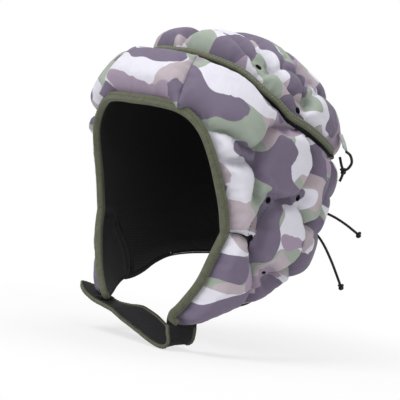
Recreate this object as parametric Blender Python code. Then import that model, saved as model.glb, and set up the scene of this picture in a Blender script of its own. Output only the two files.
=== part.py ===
"""Soft padded headgear for football: foam pads between a printed cover and a mesh lining."""
import math

import bmesh
import bpy
import numpy as np
from mathutils import Vector

# Head form that the lining follows, in metres, measured from its widest level.
HEAD_HALF_WIDTH = 0.077
HEAD_FRONT = 0.098
HEAD_BACK = 0.100
HEAD_TOP = 0.082
HEAD_JAW = 0.200
HEAD_POWER = 2.2
REAR_BULGE = 0.06
NAPE_TAPER = 0.28

# Layers, as heights above the head form.
LINING_TOP = 0.0009
FOAM_BOTTOM = 0.0027
FOAM_EDGE = 0.0006
SEAM_TOP = 0.0028
COVER_THICKNESS = 0.0008
FOAM_CLEARANCE = 0.0004
PAD_TOP = 0.0125
BROW_PAD_TOP = 0.0150
TEMPLE_PAD_TOP = 0.0140
NAPE_PAD_TOP = 0.0105

# Panels: the strip left flat along seams and under the edge binding, and the joint between panels.
SEAM_STRIP = 0.0012
BOUND_STRIP = 0.0068
FLAP_BOUND_STRIP = 0.0054
LACING_STRIP = 0.0085
PANEL_GAP = 0.0006
PAD_SHOULDER = 0.0150
PAD_ROUNDNESS = 3.4
RING_REACHES = ((0.0, 0.45), (0.0030, 0.72), (0.0100, 0.86))
RING_SPACE = 0.05
EDGE_STEP = 0.0145
FOAM_STEP = 0.020
LINING_INSET = 0.0026
VENT_RADIUS = 0.0022

# Edge binding tape: its flange on the cover, and its outer rim. Plain edging has the rim alone.
BINDING_FLANGE = 0.0058
FLAP_FLANGE = 0.0045
BINDING_RIM = 0.0014
BINDING_UNDER = 0.0035
BINDING_TOP = 0.0044
BINDING_LOW = -0.0008
TAPE_THICKNESS = 0.0010
OVER_LINING = 0.0014
EDGING_TOP = 0.0026

# Chin strap.
STRAP_WIDTH = 0.025
STRAP_THICKNESS = 0.0024
STRAP_BINDING_WIDTH = 0.0030
STRAP_BINDING_THICKNESS = 0.0034
STRAP_STEP = 0.0065
PATCH_THICKNESS = 0.0008
PATCH_WIDTH = 0.016
TOUCH_GAP = 0.0003

# Laces.
LACE_RADIUS = 0.0011
LACE_HEIGHT = 0.0056
LACE_CROSSING = 0.0027
LACE_STEP = 0.0060
KNOT_RADIUS = 0.0024
TAB_WIDTH = 0.009
TAB_THICKNESS = 0.0012

# Pull of the strap on the wearer's right cheek flap, inward and up at its lower edge.
CHEEK_PULL = 0.0080
CHEEK_LIFT = 0.0060
FOLD_HEIGHT = -0.062
FLAP_FOOT = -0.132

COLOURS = {
    "print": ((0.36, 0.33, 0.36, 1.0), 0.85),
    "foam": ((0.10, 0.10, 0.11, 1.0), 0.90),
    "mesh": ((0.012, 0.012, 0.014, 1.0), 0.80),
    "binding": ((0.15, 0.16, 0.10, 1.0), 0.75),
    "strap": ((0.015, 0.015, 0.017, 1.0), 0.85),
    "hook": ((0.03, 0.03, 0.03, 1.0), 0.60),
    "lace": ((0.010, 0.010, 0.010, 1.0), 0.70),
    "tab": ((0.45, 0.50, 0.45, 1.0), 0.80),
}


def mm(*values):
    return Vector([value / 1000 for value in values])


# Head form

# Where the headgear stands off the head: azimuth and height, their spreads, and the distance in millimetres.
STAND_OFFS = [(49, 11, 14, 26, 4.5), (134, -78, 34, 24, 5.5)]


def head_radius(direction):
    """Distance from the origin to the head form along a unit direction."""
    depth = HEAD_FRONT if direction.y < 0 else HEAD_BACK
    height = HEAD_TOP if direction.z > 0 else HEAD_JAW
    total = abs(direction.x / HEAD_HALF_WIDTH) ** HEAD_POWER
    total += abs(direction.y / depth) ** HEAD_POWER
    total += abs(direction.z / height) ** HEAD_POWER
    radius = total ** (-1 / HEAD_POWER)
    radius *= 1 + REAR_BULGE * direction.y * direction.x ** 2
    if direction.z < 0:
        level = math.hypot(direction.x, direction.y)
        rear = (1 + direction.y / level) / 2
        radius *= 1 - NAPE_TAPER * rear ** 2 * direction.z ** 2
    azimuth = math.degrees(math.atan2(abs(direction.x), -direction.y))
    height = direction.z * radius * 1000
    for middle, level, across, up, distance in STAND_OFFS:
        radius += distance / 1000 * math.exp(-((azimuth - middle) / across) ** 2 - ((height - level) / up) ** 2)
    return radius


def on_head(point):
    """The head form's point in line with a point."""
    direction = point.normalized()
    return direction * head_radius(direction)


def head_normal(point):
    direction = point.normalized()
    across = direction.orthogonal().normalized() * 0.002
    along = direction.cross(across)
    first = on_head(direction + across) - on_head(direction - across)
    second = on_head(direction + along) - on_head(direction - along)
    normal = first.cross(second).normalized()
    return normal if normal.dot(direction) > 0 else -normal


def lifted(point, height):
    return point + head_normal(point) * height


def side_spot(azimuth, height_mm):
    """Head form point at an azimuth, 0 in front and 90 at the wearer's left, and a height."""
    turn = math.radians(azimuth)
    low, high = math.radians(-80), math.radians(80)
    for _ in range(32):
        middle = (low + high) / 2
        level = math.cos(middle)
        spot = on_head(Vector((math.sin(turn) * level, -math.cos(turn) * level, math.sin(middle))))
        if spot.z * 1000 < height_mm:
            low = middle
        else:
            high = middle
    return spot


def crown_spot(x_mm, y_mm):
    """Head form point straight above a place in plan."""
    low, high = 0.0, 0.12
    for _ in range(32):
        middle = (low + high) / 2
        trial = Vector((x_mm / 1000, y_mm / 1000, middle))
        if trial.length < head_radius(trial.normalized()):
            low = middle
        else:
            high = middle
    return trial


# Outlines, as azimuth in degrees and height in millimetres on the wearer's left half.

CROWN_EDGE = [(0, 69), (15, 69), (28, 67), (41, 64), (53, 60), (65, 51), (70, 46), (78, 40), (87, 31),
              (95, 27), (100, 25), (115, 17), (130, 9), (145, 5), (163, 3.5), (180, 3)]
FACE_EDGE = [(0, 28), (12, 28), (24, 25.5), (31, 20), (37, 10), (40, 1.5), (43, -9), (46.5, -23), (51, -42),
             (54, -60)]
FLAP_EDGE = [(54, -61), (49.5, -80), (44.8, -100), (39, -114), (35, -122), (32, -127), (32, -131), (36, -134),
             (43, -134), (52, -131), (60, -126), (68, -121), (75, -117)]
LINING_UNDER_FLAP = [(59, -66), (66, -67.5), (69.5, -70), (71, -78), (75.5, -88.5), (77.5, -100), (80, -112)]
LINING_BESIDE_FLAP = [(59, -66), (66, -67.5), (71, -69), (75, -76), (80, -90), (82, -101), (84, -112)]
NECK_EDGE = [(79, -116), (87, -114), (97, -109), (108, -101), (121, -94), (135, -90), (150, -87),
             (162, -85), (169, -84), (172, -81)]
NAPE_EDGE = [(173, -76), (173, -50), (173, -25), (173, -1)]
BOUND_CROWN = 12
BOUND_FLAP = 7

# Corners of the pads on the side, forehead and nape panels.
SIDE_CORNERS = {
    "top0": (0, 65), "top13": (13, 65), "top25": (25, 63.5), "top41": (41, 60), "top53": (53, 56),
    "top65": (65, 47), "top70": (70, 42), "top78": (78, 36), "top87": (87, 27), "top95": (95, 23),
    "top103": (103, 19), "top115": (115, 13), "top128": (128, 6), "top150": (150, 1),
    "brow44": (44, 15), "brow50": (50, 13), "brow57": (57, 6), "brow62": (62, 5), "brow67": (67, 9),
    "valley73": (73, 21), "valley77": (77, 23), "cheek58": (58, -4), "cheek66": (66, -9),
    "cheek68": (68, -18), "cheek67": (68, -29), "vent_front": (79, -32), "vent_rear": (104, -28),
    "vent_low": (71, -62), "fold66": (65, -60), "rear107": (107, 10), "rear110": (110, 1),
    "rear108": (108, -9), "rear104": (104, -20), "ear76": (75, -48), "ear109": (109, -38),
    "ear117": (117, -50), "ear119": (120, -63), "ear118": (118, -77), "ear101": (102, -88),
    "ear92": (92, -88), "ear84": (84, -85), "ear74": (74, -75), "seam130": (130, -20),
    "seam129": (129, -46), "front80": (81, -100), "front78": (79, -88), "fold65": (65, -61.2),
    "fold71": (70.6, -64.5), "hinge73": (73.6, -76), "hinge78": (78.6, -88), "hinge80": (80.6, -100),
    "lap54": (54.4, -64.4), "lap64": (64, -64.6), "lap68": (68.2, -68.2), "lap70": (70.3, -77),
    "lap75": (75.3, -89), "lap77": (77.3, -100),
    "vent_side": (98, 37), "rear_side": (152, 38),
}
CROWN_CORNERS = {
    "mid_front": (0, -18), "mid_side": (22, -19), "shoulder": (40, -21), "vent_crown": (50, -17),
    "mid54": (54, -3), "mid63": (63, 2), "mid0": (0, 3), "back69": (69, 18), "back40": (38, 33),
    "back0": (0, 36), "back52": (52, 56),
}


def run(outline, first, last):
    """Names of an outline's corners from one number to another."""
    step = 1 if last >= first else -1
    return [outline + str(number) for number in range(first, last + step, step)]


# Each pad's corners in turn, on the wearer's left half or across the middle.
SIDE_PADS = {
    "temple": ["top25", "top41", "top53", "top65", "top70", "top78", "top87", "top95", "valley77",
               "valley73", "brow67", "brow62", "brow57", "brow50", "brow44"] + run("face", 4, 2),
    "brow": ["face4", "brow44", "brow50", "brow57", "brow62", "brow67", "cheek66", "cheek58", "face6", "face5"],
    "cheek": ["face6", "cheek58", "cheek66", "cheek68", "cheek67", "vent_front", "ear76", "vent_low",
              "fold66"] + run("face", 9, 7),
    "side": ["valley73", "valley77", "top95", "top103", "rear107", "rear110", "rear108", "rear104",
             "vent_rear", "vent_front", "cheek67", "cheek68", "cheek66", "brow67"],
    "ear": ["vent_front", "vent_rear", "ear109", "ear117", "ear119", "ear118", "ear101", "ear92", "ear84",
            "ear74", "vent_low", "ear76"],
    "rear": ["top103", "top115", "top128", "seam130", "seam129", "ear117", "ear109", "vent_rear",
             "rear104", "rear108", "rear110", "rear107"],
    "lower": ["ear74", "ear84", "ear92", "ear101", "ear118"] + run("neck", 4, 0) + ["front80", "front78"],
}
FLAP_PAD = ["fold65", "fold71", "hinge73", "hinge78", "hinge80"] + run("flap", 12, 0)
FLAP_LINING = ["lap54", "lap64", "lap68", "lap70", "lap75", "lap77"] + run("flap", 12, 1)
NAPE_PAD = ["top128", "top150"] + run("nape", 3, 0) + run("neck", 9, 4) + ["ear118", "ear119", "ear117",
                                                                         "seam129", "seam130"]
FOREHEAD_PAD = ["top25", "top13", "top0", "-top13", "-top25", "-face2", "-face1", "face0", "face1", "face2"]
CROWN_PADS = {
    "crown_middle": ["mid_front", "mid_side", "shoulder", "vent_crown", "mid54", "mid0", "-mid54",
                     "-vent_crown", "-shoulder", "-mid_side"],
    "crown_top": ["mid0", "mid54", "mid63", "back69", "back40", "back0", "-back40", "-back69", "-mid63",
                  "-mid54"],
    "crown_rear": ["back0", "back40", "back52", "rear_side", "crown14", "crown15", "-crown14",
                   "-rear_side", "-back52", "-back40"],
}
CROWN_SIDE_PADS = {
    "crown_fore_side": run("crown", 0, 5) + ["vent_crown", "shoulder", "mid_side", "mid_front"],
    "crown_mid_side": ["vent_crown"] + run("crown", 5, 9) + ["vent_side", "back69", "mid63", "mid54"],
    "crown_back_side": ["back69", "vent_side"] + run("crown", 9, 14) + ["rear_side", "back52", "back40"],
}
SIDE_VENTS = ["vent_front", "vent_rear", "vent_low"]
SLIT_VENT = (85, -93)

# Chin strap: azimuths, heights and depths of its sewn root, which leans back inside the flap, then places
# of its middle line below the flap and the directions from its front edge to its back edge, in millimetres.
STRAP_ROOT = [(50, -109, -0.0032), (45.5, -117, -0.0034), (42, -124, -0.0046)]
STRAP_ROOT_FOOT = ((0.1, 0.1, 7.5), (0, 0, 1.7))
STRAP_ROUTE = [((40.8, -50.6, -137.2), (12.4, 20.6, 0)), ((41.8, -51.2, -142), (10.6, 20.8, 0)),
               ((42, -51.4, -147.6), (6, 21.5, 1)), ((38.5, -51.6, -151.5), (2, 21, 3)),
               ((31, -51.8, -151.2), (1, 21, 6)), ((20, -52, -147.5), (1, 21, 9)), ((5, -52, -141.2), (0, 20, 13)),
               ((-10, -52.5, -136.5), (0, 20, 11)), ((-23, -53, -134.3), (0, 23, 3)),
               ((-35, -53.5, -133), (0, 24, 0)), ((-44, -54, -131), (0, 24, 0)),
               ((-51, -54.5, -128), (0, 24, 0))]
STRAP_TIP = (-66, -58, -121)
STRAP_TIP_SHAPE = ((0.30, 0.93), (0.60, 0.70), (0.84, 0.40))
PATCH_START = -0.048
PATCH_END = -0.033

# Rear lacing: how far the lace turns from the middle in degrees, heights of its turns, and its free ends.
LACE_TURN = 10
EYELET_HEIGHTS = (-45, -55, -65, -75)
KNOT_HEIGHT = -39
KNOT_LIFT = 0.0095
LACE_END_UPPER = [(3.4, 104.5, -40.5), (20, 108, -39), (41, 111, -42), (58, 111, -47), (75, 110, -54)]
LACE_END_LOWER = [(3.0, 104.5, -43.5), (18, 109, -52), (35, 111, -63), (50, 110, -78), (65, 110, -99)]

# Ties at the rear of the crown.
TAB_ROUTE = [(72.6, 70.4, 25), (75, 71.2, 21), (77.6, 71, 17), (80, 70, 13.5)]
TAB_ACROSS = (-5, 8, 3)
TIE_KNOT = (81, 70, -3.5)
TIE_STRAND = [(75, 71, 7), (78, 70.5, 1), (81, 70, -3.5), (80.5, 70, -8), (79, 70, -12)]
TIE_BOW = [(81, 70, 12.2), (86, 70, 9.5), (88.3, 70, 4), (85.5, 70, -1), (81, 70, -3.5)]


def corner_table():
    """Every corner on the left half, and its mirror image under a name with a minus."""
    table = {name: side_spot(*place) for name, place in SIDE_CORNERS.items()}
    table.update({name: crown_spot(*place) for name, place in CROWN_CORNERS.items()})
    outlines = {"crown": CROWN_EDGE, "face": FACE_EDGE, "flap": FLAP_EDGE, "neck": NECK_EDGE, "nape": NAPE_EDGE}
    for outline, places in outlines.items():
        table.update({outline + str(number): side_spot(*place) for number, place in enumerate(places)})
    for name, spot in list(table.items()):
        table["-" + name] = Vector((-spot.x, spot.y, spot.z))
    return table


CORNERS = corner_table()


def opposite(names):
    """The same corners on the other half, where those on the middle line stay."""
    flipped = []
    for name in names:
        if abs(CORNERS[name].x) < 0.0005:
            flipped.append(name)
        else:
            flipped.append(name[1:] if name.startswith("-") else "-" + name)
    return flipped


def between(first, second):
    """The points that divide the edge between two corners, each under a name of its own."""
    start, finish = sorted((first, second))
    count = max(1, round((CORNERS[finish] - CORNERS[start]).length / EDGE_STEP))
    marks = {(start, finish, index): on_head(CORNERS[start].lerp(CORNERS[finish], index / count))
             for index in range(1, count)}
    return marks if first == start else dict(reversed(marks.items()))


def edge_path(names):
    """Places along a run of corners."""
    path = []
    for first, second in chain(names):
        path.append(CORNERS[first])
        path.extend(between(first, second).values())
    return path + [CORNERS[names[-1]]]


def chain(names):
    """Neighbouring pairs along a run of corners."""
    return list(zip(names, names[1:]))


# Scene helpers

def material(kind):
    found = bpy.data.materials.get(kind)
    if found:
        return found
    colour, roughness = COLOURS[kind]
    made = bpy.data.materials.new(kind)
    made.use_nodes = True
    shader = made.node_tree.nodes["Principled BSDF"]
    shader.inputs["Base Color"].default_value = colour
    shader.inputs["Roughness"].default_value = roughness
    shader.inputs["Metallic"].default_value = 0.0
    made.diffuse_color = colour
    return made


def add_object(name, mesh_data, kind, smooth=True):
    """A named object from a bmesh, with its faces turned outwards."""
    bmesh.ops.remove_doubles(mesh_data, verts=mesh_data.verts, dist=0.00002)
    bmesh.ops.recalc_face_normals(mesh_data, faces=mesh_data.faces)
    mesh = bpy.data.meshes.new(name)
    mesh_data.to_mesh(mesh)
    mesh_data.free()
    if smooth:
        mesh.shade_smooth()
        mesh.set_sharp_from_angle(angle=math.radians(50))
    mesh.materials.append(material(kind))
    made = bpy.data.objects.new(name, mesh)
    bpy.context.scene.collection.objects.link(made)
    return made


def hide_tool(tool):
    tool.hide_render = True
    tool.display_type = "WIRE"


def cut(target, tool, operation="DIFFERENCE"):
    change = target.modifiers.new(tool.name, "BOOLEAN")
    change.object = tool
    change.operation = operation
    change.solver = "EXACT"
    hide_tool(tool)


def pulled(point):
    """Moves a point of the right cheek flap inward and up, more toward its lower edge."""
    drop = (FOLD_HEIGHT - point.z) / (FOLD_HEIGHT - FLAP_FOOT)
    if drop <= 0:
        return point
    share = min(drop, 1.2) ** 1.5
    return Vector((point.x + CHEEK_PULL * share, point.y, point.z + CHEEK_LIFT * share))


# Panels tiled by pads

class Tiling:
    """Pads of one panel that share their seams, as loops of points on the head form."""

    def __init__(self, pads, bound=(), bound_strip=BOUND_STRIP, gap=PANEL_GAP):
        self.points = {}
        self.bound = [set(pair) for pair in bound]
        self.bound_strip = bound_strip
        self.loops = {name: self.loop(names) for name, names in pads.items()}
        uses = {}
        for loop in self.loops.values():
            for first, second in zip(loop, loop[1:] + loop[:1]):
                uses.setdefault(frozenset((first, second)), []).append((first, second))
        self.rim = [pairs[0] for pairs in uses.values() if len(pairs) == 1]
        self.shrink(gap)

    def loop(self, names):
        ring = []
        for first, second in zip(names, names[1:] + names[:1]):
            marks = between(first, second)
            self.points[(first,)] = CORNERS[first]
            self.points.update(marks)
            ring.append((first,))
            ring.extend(marks)
        return ring

    def strip(self, first, second):
        """Width left flat beside a seam: wider where the edge carries binding."""
        names = set(first[:2]) | set(second[:2])
        return self.bound_strip if any(names <= pair for pair in self.bound) else SEAM_STRIP

    def shrink(self, gap):
        """Draws the panel's rim in by the joint's width."""
        moves = {}
        for loop in self.loops.values():
            sides = self.sides(loop)
            for index, first in enumerate(loop):
                second = loop[(index + 1) % len(loop)]
                if (first, second) in self.rim:
                    moves.setdefault(first, []).append(sides[index])
                    moves.setdefault(second, []).append(sides[index])
        for mark, inwards in moves.items():
            inward = sum(inwards, Vector()).normalized()
            self.points[mark] = on_head(self.points[mark] + inward * gap)

    def sides(self, loop):
        """For each edge of a loop, the direction into the pad, square to the edge."""
        spots = [self.points[mark] for mark in loop]
        middle = sum(spots, Vector()) / len(spots)
        after = spots[1:] + spots[:1]
        area = sum(((one - middle).cross(two - middle) for one, two in zip(spots, after)), Vector())
        turn = 1 if area.dot(middle) > 0 else -1
        return [head_normal(one).cross(two - one).normalized() * turn for one, two in zip(spots, after)]

    def middle(self, loop):
        """The place in a pad that looks most squarely at all its edges."""
        spots = [self.points[mark] for mark in loop]
        sides = self.sides(loop)

        def depth(place):
            return min(side.dot(place - spot) for side, spot in zip(sides, spots))

        best = on_head(sum(spots, Vector()) / len(spots))
        stride = 0.012
        while stride > 0.0004:
            across = best.orthogonal().normalized() * stride
            along = best.normalized().cross(across)
            trials = [on_head(best + across * one + along * two)
                      for one, two in ((1, 0), (-1, 0), (0, 1), (0, -1), (0.7, 0.7), (-0.7, 0.7),
                                       (0.7, -0.7), (-0.7, -0.7))]
            found = max(trials, key=depth)
            if depth(found) > depth(best):
                best = found
            else:
                stride /= 2
        return best

    def rings(self, name):
        """Loops from the seam in to a pad's middle, with the room each point has to the pad's edge."""
        loop = self.loops[name]
        spots = np.array([self.points[mark] for mark in loop])
        ends = np.roll(spots, -1, axis=0)
        strips = np.array([self.strip(first, second) for first, second in zip(loop, loop[1:] + loop[:1])])
        middle = np.array(self.middle(loop))

        def room(places):
            edges = ends - spots
            shares = np.einsum("pek,ek->pe", places[:, None] - spots, edges) / (edges ** 2).sum(axis=1)
            nearest = spots + shares.clip(0, 1)[..., None] * edges
            return (np.linalg.norm(places[:, None] - nearest, axis=2) - strips).min(axis=1)

        trials = np.linspace(0, 1, 51)
        table = np.array([room(spots + (middle - spots) * share) for share in trials])
        made = [(spots, np.zeros(len(spots)))]
        shares = np.zeros(len(spots))
        for reach, most in RING_REACHES:
            enough = table >= reach
            found = np.where(enough.any(axis=0), trials[enough.argmax(axis=0)], 1.0)
            found = np.minimum(found, most)
            for _ in range(2 if reach else 1):
                eased = (np.roll(found, 1) + found * 2 + np.roll(found, -1)) / 4
                found = np.maximum(found, eased)
            shares = np.maximum(found, shares + RING_SPACE)
            ring = np.array([on_head(Vector(spot)) for spot in spots + (middle - spots) * shares[:, None]])
            made.append((ring, room(ring) if reach else np.zeros(len(ring))))
        made.append((middle[None], room(middle[None])))
        return [([Vector(spot) for spot in ring], rooms) for ring, rooms in made]


def pad_height(room, top):
    """Height of the cover where a pad has this much room to its edge: a round shoulder, then a dome."""
    share = min(max(room / PAD_SHOULDER, 0.0), 1.0)
    return SEAM_TOP + (top - SEAM_TOP) * (1 - (1 - share) ** PAD_ROUNDNESS)


def fan(mesh_data, ring, middle, outward):
    for index, vertex in enumerate(ring):
        corners = [vertex, ring[(index + 1) % len(ring)], middle]
        mesh_data.faces.new(corners if outward else corners[::-1])


def bridge(mesh_data, ring, inner, outward):
    for index in range(len(ring)):
        after = (index + 1) % len(ring)
        for corners in ([ring[index], ring[after], inner[after]], [ring[index], inner[after], inner[index]]):
            mesh_data.faces.new(corners if outward else corners[::-1])


def cover(name, tiling, tops, move=None):
    """A printed cover: puffed over each pad, and sewn down along the seams."""
    mesh_data = bmesh.new()
    shared = {}

    def vertex(spot, height):
        place = lifted(spot, height)
        return mesh_data.verts.new(move(place) if move else place)

    for pad, loop in tiling.loops.items():
        rings = tiling.rings(pad)
        for outer, drop in ((True, 0.0), (False, COVER_THICKNESS)):
            for mark, spot in zip(loop, rings[0][0]):
                if (mark, outer) not in shared:
                    shared[mark, outer] = vertex(spot, SEAM_TOP - drop)
            levels = [[shared[mark, outer] for mark in loop]]
            for spots, rooms in rings[1:]:
                levels.append([vertex(spot, pad_height(room, tops[pad]) - drop)
                               for spot, room in zip(spots, rooms)])
            for wide, narrow in zip(levels, levels[1:-1]):
                bridge(mesh_data, wide, narrow, outer)
            fan(mesh_data, levels[-2], levels[-1][0], outer)
    for first, second in tiling.rim:
        corners = [shared[first, True], shared[second, True], shared[second, False], shared[first, False]]
        mesh_data.faces.new(corners)
    return add_object(name, mesh_data, "print")


def foam_pad(name, tiling, pad, top, move=None):
    """One foam pad under its cover: a flat underside, a short wall and a domed top."""
    mesh_data = bmesh.new()
    rings = tiling.rings(pad)[2:]
    place = move or (lambda point: point)
    drop = COVER_THICKNESS + FOAM_CLEARANCE
    foot = min(FOAM_BOTTOM, pad_height(min(rings[0][1]), top) - drop - FOAM_EDGE)
    levels = [[mesh_data.verts.new(place(lifted(spot, foot))) for spot in rings[0][0]]]
    for spots, rooms in rings:
        levels.append([mesh_data.verts.new(place(lifted(spot, pad_height(room, top) - drop)))
                       for spot, room in zip(spots, rooms)])
    for outer, inner in zip(levels, levels[1:-1]):
        bridge(mesh_data, outer, inner, True)
    fan(mesh_data, levels[-2], levels[-1][0], True)
    middle = rings[-1][0][0]
    steps = math.ceil(max((spot - middle).length for spot in rings[0][0]) / FOAM_STEP)
    under = levels[:1]
    for step in range(1, steps):
        spots = [on_head(spot.lerp(middle, step / steps)) for spot in rings[0][0]]
        under.append([mesh_data.verts.new(place(lifted(spot, foot))) for spot in spots])
    for outer, inner in zip(under, under[1:]):
        bridge(mesh_data, outer, inner, False)
    fan(mesh_data, under[-1], mesh_data.verts.new(place(lifted(middle, foot))), False)
    return add_object(name, mesh_data, "foam")


def plain_sheet(name, tiling, kind, move=None):
    """A thin lining sheet over one pad's outline."""
    mesh_data = bmesh.new()
    place = move or (lambda point: point)
    for pad in tiling.loops:
        rings = tiling.rings(pad)
        sides = []
        for height in (LINING_TOP, 0.0):
            levels = [[mesh_data.verts.new(place(lifted(spot, height))) for spot in rings[index][0]]
                      for index in (0, 3)]
            outward = height > 0
            bridge(mesh_data, levels[0], levels[1], outward)
            middle = mesh_data.verts.new(place(lifted(rings[-1][0][0], height)))
            fan(mesh_data, levels[1], middle, outward)
            sides.append(levels[0])
        bridge(mesh_data, sides[1], sides[0], True)
    return add_object(name, mesh_data, kind)


def vent_tool(name, spots):
    """Punches for the round vents, square to the head form."""
    mesh_data = bmesh.new()
    for spot in spots:
        normal = head_normal(spot)
        turn = normal.to_track_quat("Z", "Y").to_matrix().to_4x4()
        turn.translation = spot + normal * 0.008
        bmesh.ops.create_cone(mesh_data, cap_ends=True, segments=8, radius1=VENT_RADIUS,
                              radius2=VENT_RADIUS, depth=0.020, matrix=turn)
    tool = add_object(name, mesh_data, "mesh")
    hide_tool(tool)
    return tool


# Swept pieces

def resample(points, step):
    """A smooth curve through the points, read at even steps."""
    dense = []
    for index, (start, finish) in enumerate(zip(points, points[1:])):
        before = points[index - 1] if index else start * 2 - finish
        after = points[index + 2] if index + 2 < len(points) else finish * 2 - start
        for part in range(12):
            share = part / 12
            dense.append(0.5 * (2 * start + (finish - before) * share
                                + (2 * before - 5 * start + 4 * finish - after) * share ** 2
                                + (3 * start - 3 * finish + after - before) * share ** 3))
    dense.append(points[-1])
    walked = [0.0]
    for first, second in zip(dense, dense[1:]):
        walked.append(walked[-1] + (second - first).length)
    pieces = max(2, round(walked[-1] / step))
    marks = np.linspace(0, walked[-1], pieces + 1)
    columns = [np.interp(marks, walked, [spot[axis] for spot in dense]) for axis in range(3)]
    return [Vector(spot) for spot in zip(*columns)]


def sweep(mesh_data, frames, section):
    """Carries a section, given across and up, along frames of place, across and up."""
    levels = []
    for place, across, up in frames:
        levels.append([mesh_data.verts.new(place + across * first + up * second) for first, second in section])
    for first, second in zip(levels, levels[1:]):
        bridge(mesh_data, first, second, True)
    mesh_data.faces.new(levels[0][::-1])
    mesh_data.faces.new(levels[-1])


def binding_section(flange, low=BINDING_LOW):
    """Tape folded over the edge: across from the panel's outline, and up from the head form."""
    return [(-flange, BINDING_TOP), (BINDING_RIM, BINDING_TOP), (BINDING_RIM, low),
            (BINDING_RIM - TAPE_THICKNESS, low), (BINDING_RIM - TAPE_THICKNESS, BINDING_UNDER),
            (-flange, BINDING_UNDER)]


EDGING_SECTION = [(-0.0002, EDGING_TOP), (0.0008, EDGING_TOP), (0.0008, OVER_LINING), (-0.0002, OVER_LINING)]


def edge_tape(name, path, inside, section, kind, move=None):
    """Tape along a panel's edge, with its flange toward the inside point."""
    frames = []
    for index, spot in enumerate(path):
        before = path[max(index - 1, 0)]
        after = path[min(index + 1, len(path) - 1)]
        normal = head_normal(spot)
        across = (after - before).cross(normal).normalized()
        if frames:
            across = across if across.dot(frames[-1][1]) > 0 else -across
        elif across.dot(inside - spot) > 0:
            across = -across
        frames.append((spot, across, normal))
    mesh_data = bmesh.new()
    sweep(mesh_data, frames, section)
    if move:
        for vertex in mesh_data.verts:
            vertex.co = move(vertex.co.copy())
    return add_object(name, mesh_data, kind)


def tube(name, points, radius=LACE_RADIUS, sides=8):
    """A lace along a smooth curve, with flat ends."""
    path = resample(points, LACE_STEP)
    section = [(radius * math.cos(math.tau * index / sides), radius * math.sin(math.tau * index / sides))
               for index in range(sides)]
    frames = []
    up = Vector((0.13, 0.31, 0.94))
    for index, spot in enumerate(path):
        along = (path[min(index + 1, len(path) - 1)] - path[max(index - 1, 0)]).normalized()
        across = along.cross(up).normalized()
        up = across.cross(along).normalized()
        frames.append((spot, across, up))
    mesh_data = bmesh.new()
    sweep(mesh_data, frames, section)
    return add_object(name, mesh_data, "lace")


def knot(name, place, radius=KNOT_RADIUS):
    """A knot pulled tight, as a small uneven lump."""
    mesh_data = bmesh.new()
    bmesh.ops.create_icosphere(mesh_data, subdivisions=2, radius=radius)
    for vertex in mesh_data.verts:
        spot = vertex.co / radius
        swell = 1 + 0.10 * math.sin(3 * math.atan2(spot.y, spot.x) + 2 * spot.z)
        vertex.co = Vector((vertex.co.x * swell, vertex.co.y * swell, vertex.co.z * 1.25)) + place
    return add_object(name, mesh_data, "lace")


def ribbon(name, stations, half_thickness, kind, inset=0.0, shift=0.0, half_width=None):
    """A flat band over stations of place, across, up and half width."""
    mesh_data = bmesh.new()
    levels = []
    for place, across, up, half in stations:
        side = (half_width or half) - inset
        middle = place + up * shift
        levels.append([mesh_data.verts.new(middle + across * side * one + up * half_thickness * two)
                       for one, two in ((-1, -1), (1, -1), (1, 1), (-1, 1))])
    for first, second in zip(levels, levels[1:]):
        bridge(mesh_data, first, second, True)
    mesh_data.faces.new(levels[0][::-1])
    mesh_data.faces.new(levels[-1])
    return add_object(name, mesh_data, kind)


def along_path(spots):
    """How far along a run of points each one lies, from 0 to 1."""
    walked = np.cumsum([0.0] + [(second - first).length for first, second in zip(spots, spots[1:])])
    return walked / walked[-1]


def stations_along(places, widths, half):
    """Even stations along a band's middle line, with its across and up directions."""
    steps = resample(places, STRAP_STEP)
    widths = [width.normalized() for width in widths]
    turns = [np.interp(along_path(steps), along_path(places), [width[axis] for width in widths])
             for axis in range(3)]
    made = []
    for index, spot in enumerate(steps):
        along = (steps[min(index + 1, len(steps) - 1)] - steps[max(index - 1, 0)]).normalized()
        across = Vector([turn[index] for turn in turns])
        across = (across - along * across.dot(along)).normalized()
        made.append((spot, across, across.cross(along), half))
    return made


def join(target, others):
    """Makes one solid of pieces that run into each other."""
    for other in others:
        cut(target, other, "UNION")
    return target


# The headgear

def build_shell_lining():
    """Black mesh lining of the fixed shell, from the face and neck edges up to the crown."""
    left, right = [FACE_EDGE[:3] + FACE_EDGE[4:] + below + NECK_EDGE[1:] + [(180, -81)]
                   for below in (LINING_UNDER_FLAP, LINING_BESIDE_FLAP)]
    columns = left + [(360 - azimuth, height) for azimuth, height in reversed(right[1:-1])]
    levels = (0.0, 0.16, 0.33, 0.50, 0.66, 0.80, 0.92)
    mesh_data = bmesh.new()
    sides = []
    for height in (LINING_TOP, 0.0):
        grid = []
        for azimuth, low in columns:
            foot = side_spot(azimuth, low)
            lean = math.degrees(math.asin(foot.normalized().z)) + math.degrees(LINING_INSET / foot.length)
            column = []
            for level in levels:
                tilt = math.radians(lean + (90 - lean) * level)
                turn = math.radians(azimuth)
                ray = Vector((math.sin(turn) * math.cos(tilt), -math.cos(turn) * math.cos(tilt), math.sin(tilt)))
                column.append(mesh_data.verts.new(lifted(on_head(ray), height)))
            grid.append(column)
        rows = [[column[level] for column in grid] for level in range(len(levels))]
        peak = mesh_data.verts.new(Vector((0, 0, HEAD_TOP + height)))
        for outer, inner in zip(rows, rows[1:]):
            bridge(mesh_data, outer, inner, height > 0)
        fan(mesh_data, rows[-1], peak, height > 0)
        sides.append(rows[0])
    bridge(mesh_data, sides[1], sides[0], True)
    return add_object("shell_lining", mesh_data, "mesh")


def mirrored_names(pads, side):
    return {name: (opposite(names) if side < 0 else names) for name, names in pads.items()}


def side_name(side):
    return "left" if side > 0 else "right"


def mirrored(places, side):
    return [Vector((place.x * side, place.y, place.z)) for place in places]


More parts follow.
